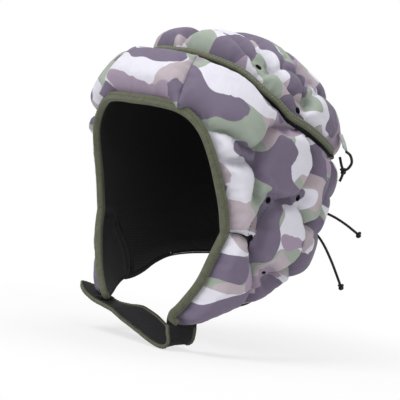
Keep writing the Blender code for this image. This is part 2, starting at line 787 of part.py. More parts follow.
def build_crown():
    front = run("crown", 0, BOUND_CROWN)
    pads = dict(CROWN_PADS)
    for side in (1, -1):
        for name, names in mirrored_names(CROWN_SIDE_PADS, side).items():
            pads["%s_%s" % (side_name(side), name)] = names
    tiling = Tiling(pads, bound=chain(front) + chain(opposite(front)))
    shell = cover("crown_cover", tiling, dict.fromkeys(pads, PAD_TOP))
    vents = [CORNERS[sign + name] for name in ("vent_crown", "vent_side") for sign in ("", "-")]
    cut(shell, vent_tool("crown_vent_punch", vents))
    for name in pads:
        foam_pad(name + "_foam", tiling, name, PAD_TOP)
    inside = Vector((0, 0, 0.09))
    left = edge_path(front)
    bound = mirrored(left[:0:-1], -1) + left
    edge_tape("crown_binding", bound, inside, binding_section(BINDING_FLANGE, OVER_LINING), "binding")
    rear = edge_path(run("crown", BOUND_CROWN, len(CROWN_EDGE) - 1))
    rear[0] = on_head(rear[0].lerp(rear[1], 0.15))
    hem = rear + mirrored(rear[-2::-1], -1)
    edge_tape("crown_rear_edging", hem, inside, EDGING_SECTION, "mesh")


def build_forehead():
    pads = {"forehead": FOREHEAD_PAD}
    tiling = Tiling(pads, bound=chain(["-face2", "-face1", "face0", "face1", "face2"]))
    cover("forehead_cover", tiling, {"forehead": BROW_PAD_TOP})
    foam_pad("forehead_foam", tiling, "forehead", BROW_PAD_TOP)


def build_side(side):
    label = side_name(side)
    pads = mirrored_names(SIDE_PADS, side)
    front = run("face", 2, 9)
    tiling = Tiling(pads, bound=chain(front if side > 0 else opposite(front)))
    tops = dict.fromkeys(pads, PAD_TOP)
    tops["temple"] = TEMPLE_PAD_TOP
    shell = cover(label + "_side_cover", tiling, tops)
    vents = [CORNERS[name] for name in SIDE_VENTS] + [side_spot(*SLIT_VENT)]
    cut(shell, vent_tool(label + "_vent_punch", mirrored(vents, side)))
    for name in pads:
        foam_pad("%s_%s_foam" % (label, name), tiling, name, tops[name])


def build_nape(side):
    label = side_name(side)
    lacing = run("nape", 0, 3)
    bound = chain(lacing if side > 0 else opposite(lacing))
    tiling = Tiling(mirrored_names({"nape": NAPE_PAD}, side), bound, LACING_STRIP)
    cover(label + "_nape_cover", tiling, {"nape": NAPE_PAD_TOP})
    foam_pad(label + "_nape_foam", tiling, "nape", NAPE_PAD_TOP)
    places = mirrored(edge_path(run("neck", 0, 9) + run("nape", 0, 3)), side)
    edge_tape(label + "_neck_edging", places, Vector((0.09 * side, 0.06, -0.04)), EDGING_SECTION, "mesh")


def build_flap(side):
    label = side_name(side)
    move = pulled if side < 0 else None
    pads = mirrored_names({"flap": FLAP_PAD}, side)
    front = run("flap", 0, BOUND_FLAP)
    tiling = Tiling(pads, chain(front if side > 0 else opposite(front)), FLAP_BOUND_STRIP)
    cover(label + "_flap_cover", tiling, {"flap": PAD_TOP}, move)
    foam_pad(label + "_flap_foam", tiling, "flap", PAD_TOP, move)
    inner = Tiling(mirrored_names({"flap": FLAP_LINING}, side), gap=LINING_INSET)
    plain_sheet(label + "_flap_lining", inner, "mesh", move)
    places = mirrored(edge_path(front), side)
    inside = Vector((0.075 * side, -0.035, -0.105))
    edge_tape(label + "_flap_binding", places, inside, binding_section(FLAP_FLANGE), "binding", move)


def build_face_binding():
    left = edge_path(run("face", 0, 9))
    edge_tape("face_binding", left[::-1] + mirrored(left[1:], -1), Vector((0, 0, 0.20)),
              binding_section(BINDING_FLANGE), "binding")


def build_strap():
    """The chin strap: a root sewn inside the left flap, then the band round under the chin."""
    places = [mm(*place) for place, _ in STRAP_ROUTE]
    widths = [mm(*width) for _, width in STRAP_ROUTE]
    root = [lifted(side_spot(azimuth, height), depth) for azimuth, height, depth in STRAP_ROOT]
    root_widths = [Vector((0, 0, 1)).cross(head_normal(spot)) for spot in root] + [widths[0]] * 2
    root += [places[0] + mm(*rise) for rise in STRAP_ROOT_FOOT]
    ribbon("strap_root", stations_along(root, root_widths, STRAP_WIDTH / 2), STRAP_THICKNESS / 2, "strap")

    stations = stations_along(places, widths, STRAP_WIDTH / 2)
    base, across, up, half = stations[-1]
    reach = mm(*STRAP_TIP) - base
    across = (across - reach * (across.dot(reach) / reach.length_squared)).normalized()
    for share, narrow in STRAP_TIP_SHAPE:
        stations.append((base + reach * share, across, across.cross(reach.normalized()), half * narrow))
    ribbon("chin_strap", stations, STRAP_THICKNESS / 2, "strap", inset=STRAP_BINDING_WIDTH + TOUCH_GAP)

    middle = STRAP_BINDING_WIDTH / 2
    frames = [(place - across * (half - middle), -across, up) for place, across, up, half in stations]
    frames.append((base + reach, reach.normalized(), stations[-1][2]))
    frames += [(place + across * (half - middle), across, up) for place, across, up, half in stations[::-1]]
    mesh_data = bmesh.new()
    thick = STRAP_BINDING_THICKNESS / 2
    sweep(mesh_data, frames, [(-middle, -thick), (middle, -thick), (middle, thick), (-middle, thick)])
    add_object("chin_strap_binding", mesh_data, "binding")

    patch = [station for station in stations if PATCH_START < station[0].x < PATCH_END]
    lift = (STRAP_THICKNESS + PATCH_THICKNESS) / 2 + TOUCH_GAP
    for name, kind, shift in (("hook_patch", "hook", lift), ("loop_patch", "strap", lift + PATCH_THICKNESS
                                                             + TOUCH_GAP)):
        ribbon(name, patch, PATCH_THICKNESS / 2, kind, shift=shift, half_width=PATCH_WIDTH / 2)


def build_rear_lace():
    """One lace, crossed up the gap at the nape and knotted at the top, with two free ends."""
    spots = []
    for index, height in enumerate(EYELET_HEIGHTS):
        spots.append((LACE_TURN * (1 if index % 2 else -1), height))
    over = [lifted(side_spot(azimuth + 180, height), LACE_HEIGHT) for azimuth, height in spots]
    under = [lifted(side_spot(180 - azimuth, height), LACE_HEIGHT + LACE_CROSSING) for azimuth, height in spots]
    middle = lifted(side_spot(180, KNOT_HEIGHT), KNOT_LIFT)
    lace = tube("rear_lace", [middle] + over + under[::-1] + [middle])
    join(lace, [knot("rear_knot_lump", middle)])
    for name, route in (("lace_end_upper", LACE_END_UPPER), ("lace_end_lower", LACE_END_LOWER)):
        places = [mm(*place) for place in route]
        free = tube(name, places)
        join(free, [knot(name + "_lump", places[-1], KNOT_RADIUS * 0.8)])


def build_tie(side):
    """Fabric tab at the rear of the crown, with a short lace tied through it."""
    label = side_name(side)
    places = mirrored([mm(*place) for place in TAB_ROUTE], side)
    widths = mirrored([mm(*TAB_ACROSS)] * len(places), side)
    ribbon(label + "_tab", stations_along(places, widths, TAB_WIDTH / 2), TAB_THICKNESS / 2, "tab")
    strand = tube(label + "_tie", mirrored([mm(*place) for place in TIE_STRAND], side))
    bow = tube(label + "_tie_bow", mirrored([mm(*place) for place in TIE_BOW], side))
    lump = knot(label + "_tie_lump", mirrored([mm(*TIE_KNOT)], side)[0])
    join(strand, [bow, lump])


if __name__ == "__main__":
    for old in list(bpy.data.objects):
        bpy.data.objects.remove(old)
    build_shell_lining()
    build_crown()
    build_forehead()
    for half in (1, -1):
        build_side(half)
        build_nape(half)
        build_flap(half)
        build_tie(half)
    build_face_binding()
    build_strap()
    build_rear_lace()
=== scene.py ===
import math

import bmesh
import bpy
import numpy as np
from mathutils import Matrix, Vector, noise
from mathutils.geometry import delaunay_2d_cdt


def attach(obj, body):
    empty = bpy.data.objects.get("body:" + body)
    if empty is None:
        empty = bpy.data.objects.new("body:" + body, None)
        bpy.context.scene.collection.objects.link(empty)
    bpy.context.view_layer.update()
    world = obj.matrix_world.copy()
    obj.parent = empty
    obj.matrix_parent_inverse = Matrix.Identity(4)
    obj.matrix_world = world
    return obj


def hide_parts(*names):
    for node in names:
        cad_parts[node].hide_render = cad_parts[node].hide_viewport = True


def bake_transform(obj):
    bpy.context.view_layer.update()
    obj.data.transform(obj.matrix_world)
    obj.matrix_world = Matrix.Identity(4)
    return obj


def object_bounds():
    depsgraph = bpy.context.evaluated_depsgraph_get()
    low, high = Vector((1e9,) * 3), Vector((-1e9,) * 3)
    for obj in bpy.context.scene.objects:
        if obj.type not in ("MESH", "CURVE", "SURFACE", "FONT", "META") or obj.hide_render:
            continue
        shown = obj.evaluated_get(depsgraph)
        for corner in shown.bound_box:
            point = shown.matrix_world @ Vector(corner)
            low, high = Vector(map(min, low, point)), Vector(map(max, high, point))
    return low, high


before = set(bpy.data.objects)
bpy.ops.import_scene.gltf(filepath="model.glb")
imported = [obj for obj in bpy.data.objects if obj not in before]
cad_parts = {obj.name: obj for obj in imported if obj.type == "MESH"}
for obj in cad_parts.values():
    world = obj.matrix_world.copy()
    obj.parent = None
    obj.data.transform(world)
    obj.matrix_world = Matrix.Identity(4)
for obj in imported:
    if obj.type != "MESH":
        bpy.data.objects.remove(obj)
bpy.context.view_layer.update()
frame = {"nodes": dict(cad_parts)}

# Soft padded headgear: printed knit over foam, olive binding, black mesh lining, chin strap and rear lacing.
scene = bpy.context.scene
scene.view_settings.view_transform = "Standard"
millimetre = 0.001

# Head form inside the lining, in metres.
head = {"halfWidth": 0.077, "front": 0.098, "back": 0.100, "top": 0.082, "jaw": 0.200, "power": 2.2,
        "rearBulge": 0.06, "napeTaper": 0.28,
        "standOffs": [(49, 11, 14, 26, 4.5), (134, -78, 34, 24, 5.5)]}  # azimuth, height, their spreads, millimetres

cameraPlace = {"azimuth": 42, "elevation": 1, "roll": 8, "distance": 1.4, "pixelsPerMetre": 1250,
    "originPixel": (211, 148), "imageSize": 400, "sensor": 36, "clipStart": 0.05}


def unit(rows):
    return rows / np.linalg.norm(rows, axis=-1, keepdims=True)


def headRadius(rays):
    depth = np.where(rays[:, 1] < 0, head["front"], head["back"])
    height = np.where(rays[:, 2] > 0, head["top"], head["jaw"])
    total = np.abs(rays[:, 0] / head["halfWidth"]) ** head["power"]
    total += np.abs(rays[:, 1] / depth) ** head["power"]
    total += np.abs(rays[:, 2] / height) ** head["power"]
    radius = total ** (-1 / head["power"])
    radius *= 1 + head["rearBulge"] * rays[:, 1] * rays[:, 0] ** 2
    level = np.maximum(np.hypot(rays[:, 0], rays[:, 1]), 1e-9)
    rear = (1 + rays[:, 1] / level) / 2
    radius = np.where(rays[:, 2] < 0, radius * (1 - head["napeTaper"] * rear ** 2 * rays[:, 2] ** 2), radius)
    # where the headgear stands off the head, at the brow's corners and the nape
    turn = np.degrees(np.arctan2(np.abs(rays[:, 0]), -rays[:, 1]))
    heights = rays[:, 2] * radius / millimetre
    for azimuth, height, across, up, distance in head["standOffs"]:
        radius = radius + distance * millimetre * np.exp(-((turn - azimuth) / across) ** 2 -
            ((heights - height) / up) ** 2)
    return radius


def onHead(places):
    rays = unit(np.atleast_2d(places))
    return rays * headRadius(rays)[:, None]


def headNormals(places):
    rays = unit(np.atleast_2d(places))
    helper = np.where(np.abs(rays[:, 2:3]) < 0.9, [[0.0, 0, 1]], [[1.0, 0, 0]])
    across = unit(np.cross(rays, helper)) * 0.002
    along = np.cross(rays, across)
    first = onHead(rays + across) - onHead(rays - across)
    second = onHead(rays + along) - onHead(rays - along)
    normals = unit(np.cross(first, second))
    return normals * np.sign((normals * rays).sum(axis=1))[:, None]


def lifted(places, height):
    return places + headNormals(places) * np.reshape(height, (-1, 1))


def rayAt(turn, tilt):
    return np.stack([np.sin(turn) * np.cos(tilt), -np.cos(turn) * np.cos(tilt), np.sin(tilt)], axis=-1)


def sideSpots(places):
    # Head form points at azimuths in degrees, 0 in front and 90 at the left, and heights in millimetres
    places = np.atleast_2d(np.array(places, float))
    turn = np.radians(places[:, 0])
    low, high = np.full(len(places), math.radians(-80)), np.full(len(places), math.radians(80))
    for _ in range(36):
        tilt = (low + high) / 2
        under = onHead(rayAt(turn, tilt))[:, 2] * 1000 < places[:, 1]
        low, high = np.where(under, tilt, low), np.where(under, high, tilt)
    return onHead(rayAt(turn, (low + high) / 2))


def crownSpots(places):
    # Head form points straight above places in plan, in millimetres
    places = np.atleast_2d(np.array(places, float)) * millimetre
    low, high = np.zeros(len(places)), np.full(len(places), 0.12)
    for _ in range(36):
        middle = (low + high) / 2
        trial = np.column_stack([places, middle])
        inside = np.linalg.norm(trial, axis=1) < headRadius(unit(trial))
        low, high = np.where(inside, middle, low), np.where(inside, high, middle)
    return np.column_stack([places, low])


# Outlines, as azimuth in degrees and height in millimetres on the left half.
outlines = {
    "crown": [(0, 69), (15, 69), (28, 67), (41, 64), (53, 60), (65, 51), (70, 46), (78, 40), (87, 31), (95, 27),
              (100, 25), (115, 17), (130, 9), (145, 5), (163, 3.5), (180, 3)],
    "face": [(0, 28), (12, 28), (24, 25.5), (31, 20), (37, 10), (40, 1.5), (43, -9), (46.5, -23), (51, -42),
             (54, -60)],
    "flap": [(54, -61), (49.5, -80), (44.8, -100), (39, -114), (35, -122), (32, -127), (32, -131), (36, -134),
             (43, -134), (52, -131), (60, -126), (68, -121), (75, -117)],
    "neck": [(79, -116), (87, -114), (97, -109), (108, -101), (121, -94), (135, -90), (150, -87), (162, -85),
             (169, -84), (172, -81)],
    "nape": [(173, -76), (173, -50), (173, -25), (173, -1)],
}
liningUnderFlap = [(59, -66), (66, -67.5), (69.5, -70), (71, -78), (75.5, -88.5), (77.5, -100), (80, -112)]
liningBesideFlap = [(59, -66), (66, -67.5), (71, -69), (75, -76), (80, -90), (82, -101), (84, -112)]

sideCorners = {
    "top0": (0, 65), "top13": (13, 65), "top25": (25, 63.5), "top41": (41, 60), "top53": (53, 56),
    "top65": (65, 47), "top70": (70, 42), "top78": (78, 36), "top87": (87, 27), "top95": (95, 23),
    "top103": (103, 19), "top115": (115, 13), "top128": (128, 6), "top150": (150, 1),
    "brow44": (44, 15), "brow50": (50, 13), "brow57": (57, 6), "brow62": (62, 5), "brow67": (67, 9),
    "valley73": (73, 21), "valley77": (77, 23), "cheek58": (58, -4), "cheek66": (66, -9),
    "cheek68": (68, -18), "cheek67": (68, -29), "ventFront": (79, -32), "ventRear": (104, -28),
    "ventLow": (71, -62), "fold66": (65, -60), "rear107": (107, 10), "rear110": (110, 1),
    "rear108": (108, -9), "rear104": (104, -20), "ear76": (75, -48), "ear109": (109, -38),
    "ear117": (117, -50), "ear119": (120, -63), "ear118": (118, -77), "ear101": (102, -88),
    "ear92": (92, -88), "ear84": (84, -85), "ear74": (74, -75), "seam130": (130, -20),
    "seam129": (129, -46), "front80": (81, -100), "front78": (79, -88), "fold65": (65, -61.2),
    "fold71": (70.6, -64.5), "hinge73": (73.6, -76), "hinge78": (78.6, -88), "hinge80": (80.6, -100),
    "lap54": (54.4, -64.4), "lap64": (64, -64.6), "lap68": (68.2, -68.2), "lap70": (70.3, -77),
    "lap75": (75.3, -89), "lap77": (77.3, -100), "ventSide": (98, 37), "rearSide": (152, 38),
}
crownCorners = {
    "midFront": (0, -18), "midSide": (22, -19), "shoulder": (40, -21), "ventCrown": (50, -17),
    "mid54": (54, -3), "mid63": (63, 2), "mid0": (0, 3), "back69": (69, 18), "back40": (38, 33),
    "back0": (0, 36), "back52": (52, 56),
}


def run(outline, first, last):
    step = 1 if last >= first else -1
    return [outline + str(number) for number in range(first, last + step, step)]


# Each pad's corners in turn, on the left half or across the middle.
sidePads = {
    "temple": ["top25", "top41", "top53", "top65", "top70", "top78", "top87", "top95", "valley77",
               "valley73", "brow67", "brow62", "brow57", "brow50", "brow44"] + run("face", 4, 2),
    "brow": ["face4", "brow44", "brow50", "brow57", "brow62", "brow67", "cheek66", "cheek58", "face6", "face5"],
    "cheek": ["face6", "cheek58", "cheek66", "cheek68", "cheek67", "ventFront", "ear76", "ventLow",
              "fold66"] + run("face", 9, 7),
    "side": ["valley73", "valley77", "top95", "top103", "rear107", "rear110", "rear108", "rear104",
             "ventRear", "ventFront", "cheek67", "cheek68", "cheek66", "brow67"],
    "ear": ["ventFront", "ventRear", "ear109", "ear117", "ear119", "ear118", "ear101", "ear92", "ear84",
            "ear74", "ventLow", "ear76"],
    "rear": ["top103", "top115", "top128", "seam130", "seam129", "ear117", "ear109", "ventRear",
             "rear104", "rear108", "rear110", "rear107"],
    "lower": ["ear74", "ear84", "ear92", "ear101", "ear118"] + run("neck", 4, 0) + ["front80", "front78"],
}
flapPads = {"flap": ["fold65", "fold71", "hinge73", "hinge78", "hinge80"] + run("flap", 12, 0)}
flapLiningPads = {"lining": ["lap54", "lap64", "lap68", "lap70", "lap75", "lap77"] + run("flap", 12, 1)}
napePads = {"nape": ["top128", "top150"] + run("nape", 3, 0) + run("neck", 9, 4) +
    ["ear118", "ear119", "ear117", "seam129", "seam130"]}
foreheadPads = {"forehead": ["top25", "top13", "top0", "-top13", "-top25", "-face2", "-face1", "face0", "face1",
    "face2"]}
crownPads = {
    "crown_middle": ["midFront", "midSide", "shoulder", "ventCrown", "mid54", "mid0", "-mid54", "-ventCrown",
                     "-shoulder", "-midSide"],
    "crown_top": ["mid0", "mid54", "mid63", "back69", "back40", "back0", "-back40", "-back69", "-mid63",
                  "-mid54"],
    "crown_rear": ["back0", "back40", "back52", "rearSide", "crown14", "crown15", "-crown14", "-rearSide",
                   "-back52", "-back40"],
}
crownSidePads = {
    "crown_fore_side": run("crown", 0, 5) + ["ventCrown", "shoulder", "midSide", "midFront"],
    "crown_mid_side": ["ventCrown"] + run("crown", 5, 9) + ["ventSide", "back69", "mid63", "mid54"],
    "crown_back_side": ["back69", "ventSide"] + run("crown", 9, 14) + ["rearSide", "back52", "back40"],
}


def cornerTable():
    table = dict(zip(sideCorners, sideSpots(list(sideCorners.values()))))
    table.update(zip(crownCorners, crownSpots(list(crownCorners.values()))))
    for outline, places in outlines.items():
        table.update((outline + str(number), spot) for number, spot in enumerate(sideSpots(places)))
    table.update([("-" + name, spot * (-1, 1, 1)) for name, spot in table.items()])
    return table


corners = cornerTable()


def ring(names):
    # Each name with the next one, and the last with the first
    return list(zip(names, names[1:] + names[:1]))


def opposite(names):
    # The same corners on the other half, where those on the middle line stay
    return [name if abs(corners[name][0]) < 0.0005 else name[1:] if name.startswith("-") else "-" + name
            for name in names]


for name, names in crownSidePads.items():
    crownPads["left_" + name] = names
    crownPads["right_" + name] = opposite(names)

# Which corners each corner is joined to, over all the panels.
neighbours = {}
for pads in (sidePads, flapPads, flapLiningPads, napePads, foreheadPads, crownPads,
        {name: opposite(names) for name, names in sidePads.items()}):
    for names in pads.values():
        for first, second in ring(names):
            neighbours.setdefault(first, set()).add(second)
            neighbours.setdefault(second, set()).add(first)


seamCurves = {"step": 0.002, "straightest": 0.72}


def heading(first, second):
    # Direction of a seam as it leaves a corner, in line with the straightest seam that arrives there
    step = unit(corners[second] - corners[first])
    best, line = seamCurves["straightest"], step
    for other in neighbours.get(first, set()) - {second}:
        arriving = unit(corners[first] - corners[other])
        if arriving @ step > best:
            best, line = arriving @ step, unit(arriving + step)
    return line


def seamCurve(first, second):
    # Points of the curved seam between two corners, under names of their own, both ends left out
    start, finish = sorted((first, second))
    origin, target = corners[start], corners[finish]
    length = np.linalg.norm(target - origin)
    count = max(1, round(length / seamCurves["step"]))
    leaving, arriving = heading(start, finish) * length, -heading(finish, start) * length
    marks = {}
    for index in range(1, count):
        t = index / count
        spot = ((2 * t ** 3 - 3 * t ** 2 + 1) * origin + (t ** 3 - 2 * t ** 2 + t) * leaving +
            (3 * t ** 2 - 2 * t ** 3) * target + (t ** 3 - t ** 2) * arriving)
        marks[(start, finish, index)] = onHead(spot)[0]
    return marks if first == start else dict(reversed(marks.items()))


def edgePath(names):
    path = []
    for first, second in zip(names, names[1:]):
        path.append(corners[first])
        path.extend(seamCurve(first, second).values())
    return np.array(path + [corners[names[-1]]])


def walkedAlong(path):
    return np.concatenate([[0], np.cumsum(np.linalg.norm(np.diff(path, axis=0), axis=1))])


# Charts that lay a panel out flat, in metres.
chartRadius = {"crown": 0.088, "around": 0.085, "upward": 0.095}


def sideChart(azimuth, reference):
    # Heights along one meridian, and widths true along each level
    tilts = np.radians(np.linspace(-84, 86, 400))
    meridian = onHead(rayAt(math.radians(reference), tilts))
    heights = walkedAlong(meridian)
    widths = np.hypot(meridian[:, 0], meridian[:, 1])
    middle = math.radians(azimuth)

    def flatten(places):
        rays = unit(places)
        tilt = np.arcsin(rays[:, 2])
        turn = np.arctan2(rays[:, 0], -rays[:, 1])
        return np.column_stack([(turn - middle) * np.interp(tilt, tilts, widths), np.interp(tilt, tilts, heights)])

    def unflatten(flat):
        tilt = np.interp(flat[:, 1], heights, tilts)
        return onHead(rayAt(middle + flat[:, 0] / np.interp(tilt, tilts, widths), tilt))

    return flatten, unflatten


def topChart():
    # Seen from above, with true distances from the middle
    def flatten(places):
        rays = unit(places)
        reach = np.arccos(rays[:, 2]) * chartRadius["crown"]
        return unit(rays[:, :2] + 1e-9) * reach[:, None]

    def unflatten(flat):
        reach = np.maximum(np.linalg.norm(flat, axis=1), 1e-9)
        polar = reach / chartRadius["crown"]
        return onHead(np.column_stack([flat / reach[:, None] * np.sin(polar)[:, None], np.cos(polar)]))

    return flatten, unflatten


def insideLoop(points, loop):
    after = np.roll(loop, -1, axis=0)
    x, y = points[:, 0:1], points[:, 1:2]
    straddles = (loop[:, 1] > y) != (after[:, 1] > y)
    slope = (after[:, 0] - loop[:, 0]) / np.where(after[:, 1] == loop[:, 1], 1e-12, after[:, 1] - loop[:, 1])
    return (straddles & (x < slope * (y - loop[:, 1]) + loop[:, 0])).sum(axis=1) % 2 == 1


# Sizes of the padding in metres. A seam's ripple, its creases and the painted shade in it fade out over the reaches
# given.
padding = {
    "seam": 0.0014, "strip": 0.0004, "round": 2.7, "shoulder": 0.0130, "inner": 0.0010, "puckerHeight": 0.00095,
    "puckerPitch": 0.0052, "puckerStart": 0.0016, "puckerReach": 0.0042, "lattice": 0.0018, "gap": 0.00025,
    "smoothing": 4, "looseRoom": 0.0003, "creaseStart": 0.002, "creaseFloor": 0.0006, "ventSides": 14,
    "ventClear": 0.0007, "ventRoom": 0.0008, "ventHeight": 0.0046, "ventRim": 0.0012, "ventSlope": 0.0042,
    "creaseEnd": 0.0050, "creaseStep": 0.0012, "creaseTip": 0.35, "seamShadeReach": 0.0034, "seamShadeSharpness": 1.3,
}
# Spacing of the lattice's rows and how near a crease, a seam and a vent it comes, in steps of the lattice.
latticeRoom = {"row": 0.866, "crease": 0.6, "seam": 0.55, "vent": 0.5}


def padHeight(room, top, seam):
    share = np.clip(room / padding["shoulder"], 0, 1)
    return seam + (top - seam) * (1 - (1 - share) ** padding["round"])


def nearEdges(places, starts, edges):
    # For each place and edge, how far along the edge its nearest point lies, and how far away it is
    share = np.einsum("pek,ek->pe", places[:, None] - starts, edges) / (edges ** 2).sum(axis=1)
    share = share.clip(0, 1)
    return share, np.linalg.norm(places[:, None] - (starts + share[..., None] * edges), axis=2)


def nearLine(places, line):
    # Distance from each place to a line of points, and how far along it that is from the nearer end
    share, away = nearEdges(places, line[:-1], np.diff(line, axis=0))
    nearest, picked, walked = away.argmin(axis=1), np.arange(len(places)), walkedAlong(line)
    along = walked[nearest] + share[picked, nearest] * np.diff(walked)[nearest]
    return away[picked, nearest], np.minimum(along, walked[-1] - along)


def seamLoops(pads, gap):
    # Each pad's loop of seam points. A seam with one pad beside it moves in from the panel's edge by the gap
    spots, loops, uses, moves = {}, {}, {}, {}
    for pad, names in pads.items():
        loops[pad] = []
        for first, second in ring(names):
            marks = seamCurve(first, second)
            spots[(first,)] = corners[first]
            spots.update(marks)
            loops[pad] += [(first,)] + list(marks)
    for loop in loops.values():
        for pair in ring(loop):
            uses.setdefault(frozenset(pair), []).append(pair)
    for loop in loops.values():
        places = np.array([spots[mark] for mark in loop])
        after = np.roll(places, -1, axis=0)
        middle = places.mean(axis=0)
        turn = np.sign(np.cross(places - middle, after - middle).sum(axis=0) @ middle)
        inward = unit(np.cross(headNormals(places), after - places)) * turn
        for pair, direction in zip(ring(loop), inward):
            if len(uses[frozenset(pair)]) == 1:
                for mark in pair:
                    moves.setdefault(mark, []).append(direction)
    for mark, inwards in moves.items():
        spots[mark] = onHead(spots[mark] + unit(sum(inwards)) * gap)[0]
    return spots, loops, [pairs[0] for pairs in uses.values()]


def seamWidths(loop, strips, lifts):
    # The flat strip beside each edge of a loop, and the height of its seam
    strip, lift = np.full(len(loop), padding["strip"]), np.full(len(loop), padding["seam"])
    for index, (first, second) in enumerate(ring(loop)):
        names = set(first[:2]) | set(second[:2])
        for table, values in ((strips, strip), (lifts, lift)):
            for pairs, size in table:
                if any(names <= pair for pair in pairs):
                    values[index] = size
    return strip, lift


def dressed(shape, walk, vents, creases, creaseLines):
    # Heights of the pads once their seams are smoothed, puckered and creased, with a hollow at each vent
    places, ups, faces, room = (shape[key] for key in ("foot", "up", "faces", "room"))
    pairs = np.unique(np.sort(np.vstack([faces[:, [0, 1]], faces[:, [1, 2]], faces[:, [2, 0]]]), axis=1), axis=0)
    count = np.bincount(pairs.ravel(), minlength=len(ups))
    for _ in range(padding["smoothing"]):
        sums = np.bincount(pairs[:, 0], ups[pairs[:, 1]], len(ups))
        sums += np.bincount(pairs[:, 1], ups[pairs[:, 0]], len(ups))
        ups = np.where(room > padding["looseRoom"], ups * 0.5 + sums / np.maximum(count, 1) * 0.5, ups)
    ripple = np.array([noise.noise(Vector((step / padding["puckerPitch"], 0.3, 1.7))) for step in walk])
    window = np.clip(room / padding["puckerStart"], 0, 1) * np.exp(-np.maximum(room, 0) / padding["puckerReach"])
    ups = ups + ripple * window * padding["puckerHeight"] * 2
    floor = np.minimum(ups, padding["seam"] + padding["creaseFloor"])
    for line, (_, depth, width, kind) in zip(creaseLines, creases):
        away, ends = nearLine(places, line)
        fade = np.clip(padding["creaseTip"] + ends / padding["creaseEnd"], 0, 1)
        fade *= np.clip(room / padding["creaseStart"], 0, 1)
        ups = np.maximum(ups - depth * np.exp(-(away / width) ** (1 if kind == "crease" else 2)) * fade, floor)
    for centre, wide, tall in vents:
        away = np.linalg.norm(places - centre, axis=1) - max(wide, tall)
        near = np.exp(-(np.maximum(away - padding["ventRim"], 0) / padding["ventSlope"]) ** 2)
        ups = ups + (padding["ventHeight"] - ups) * near
    return ups


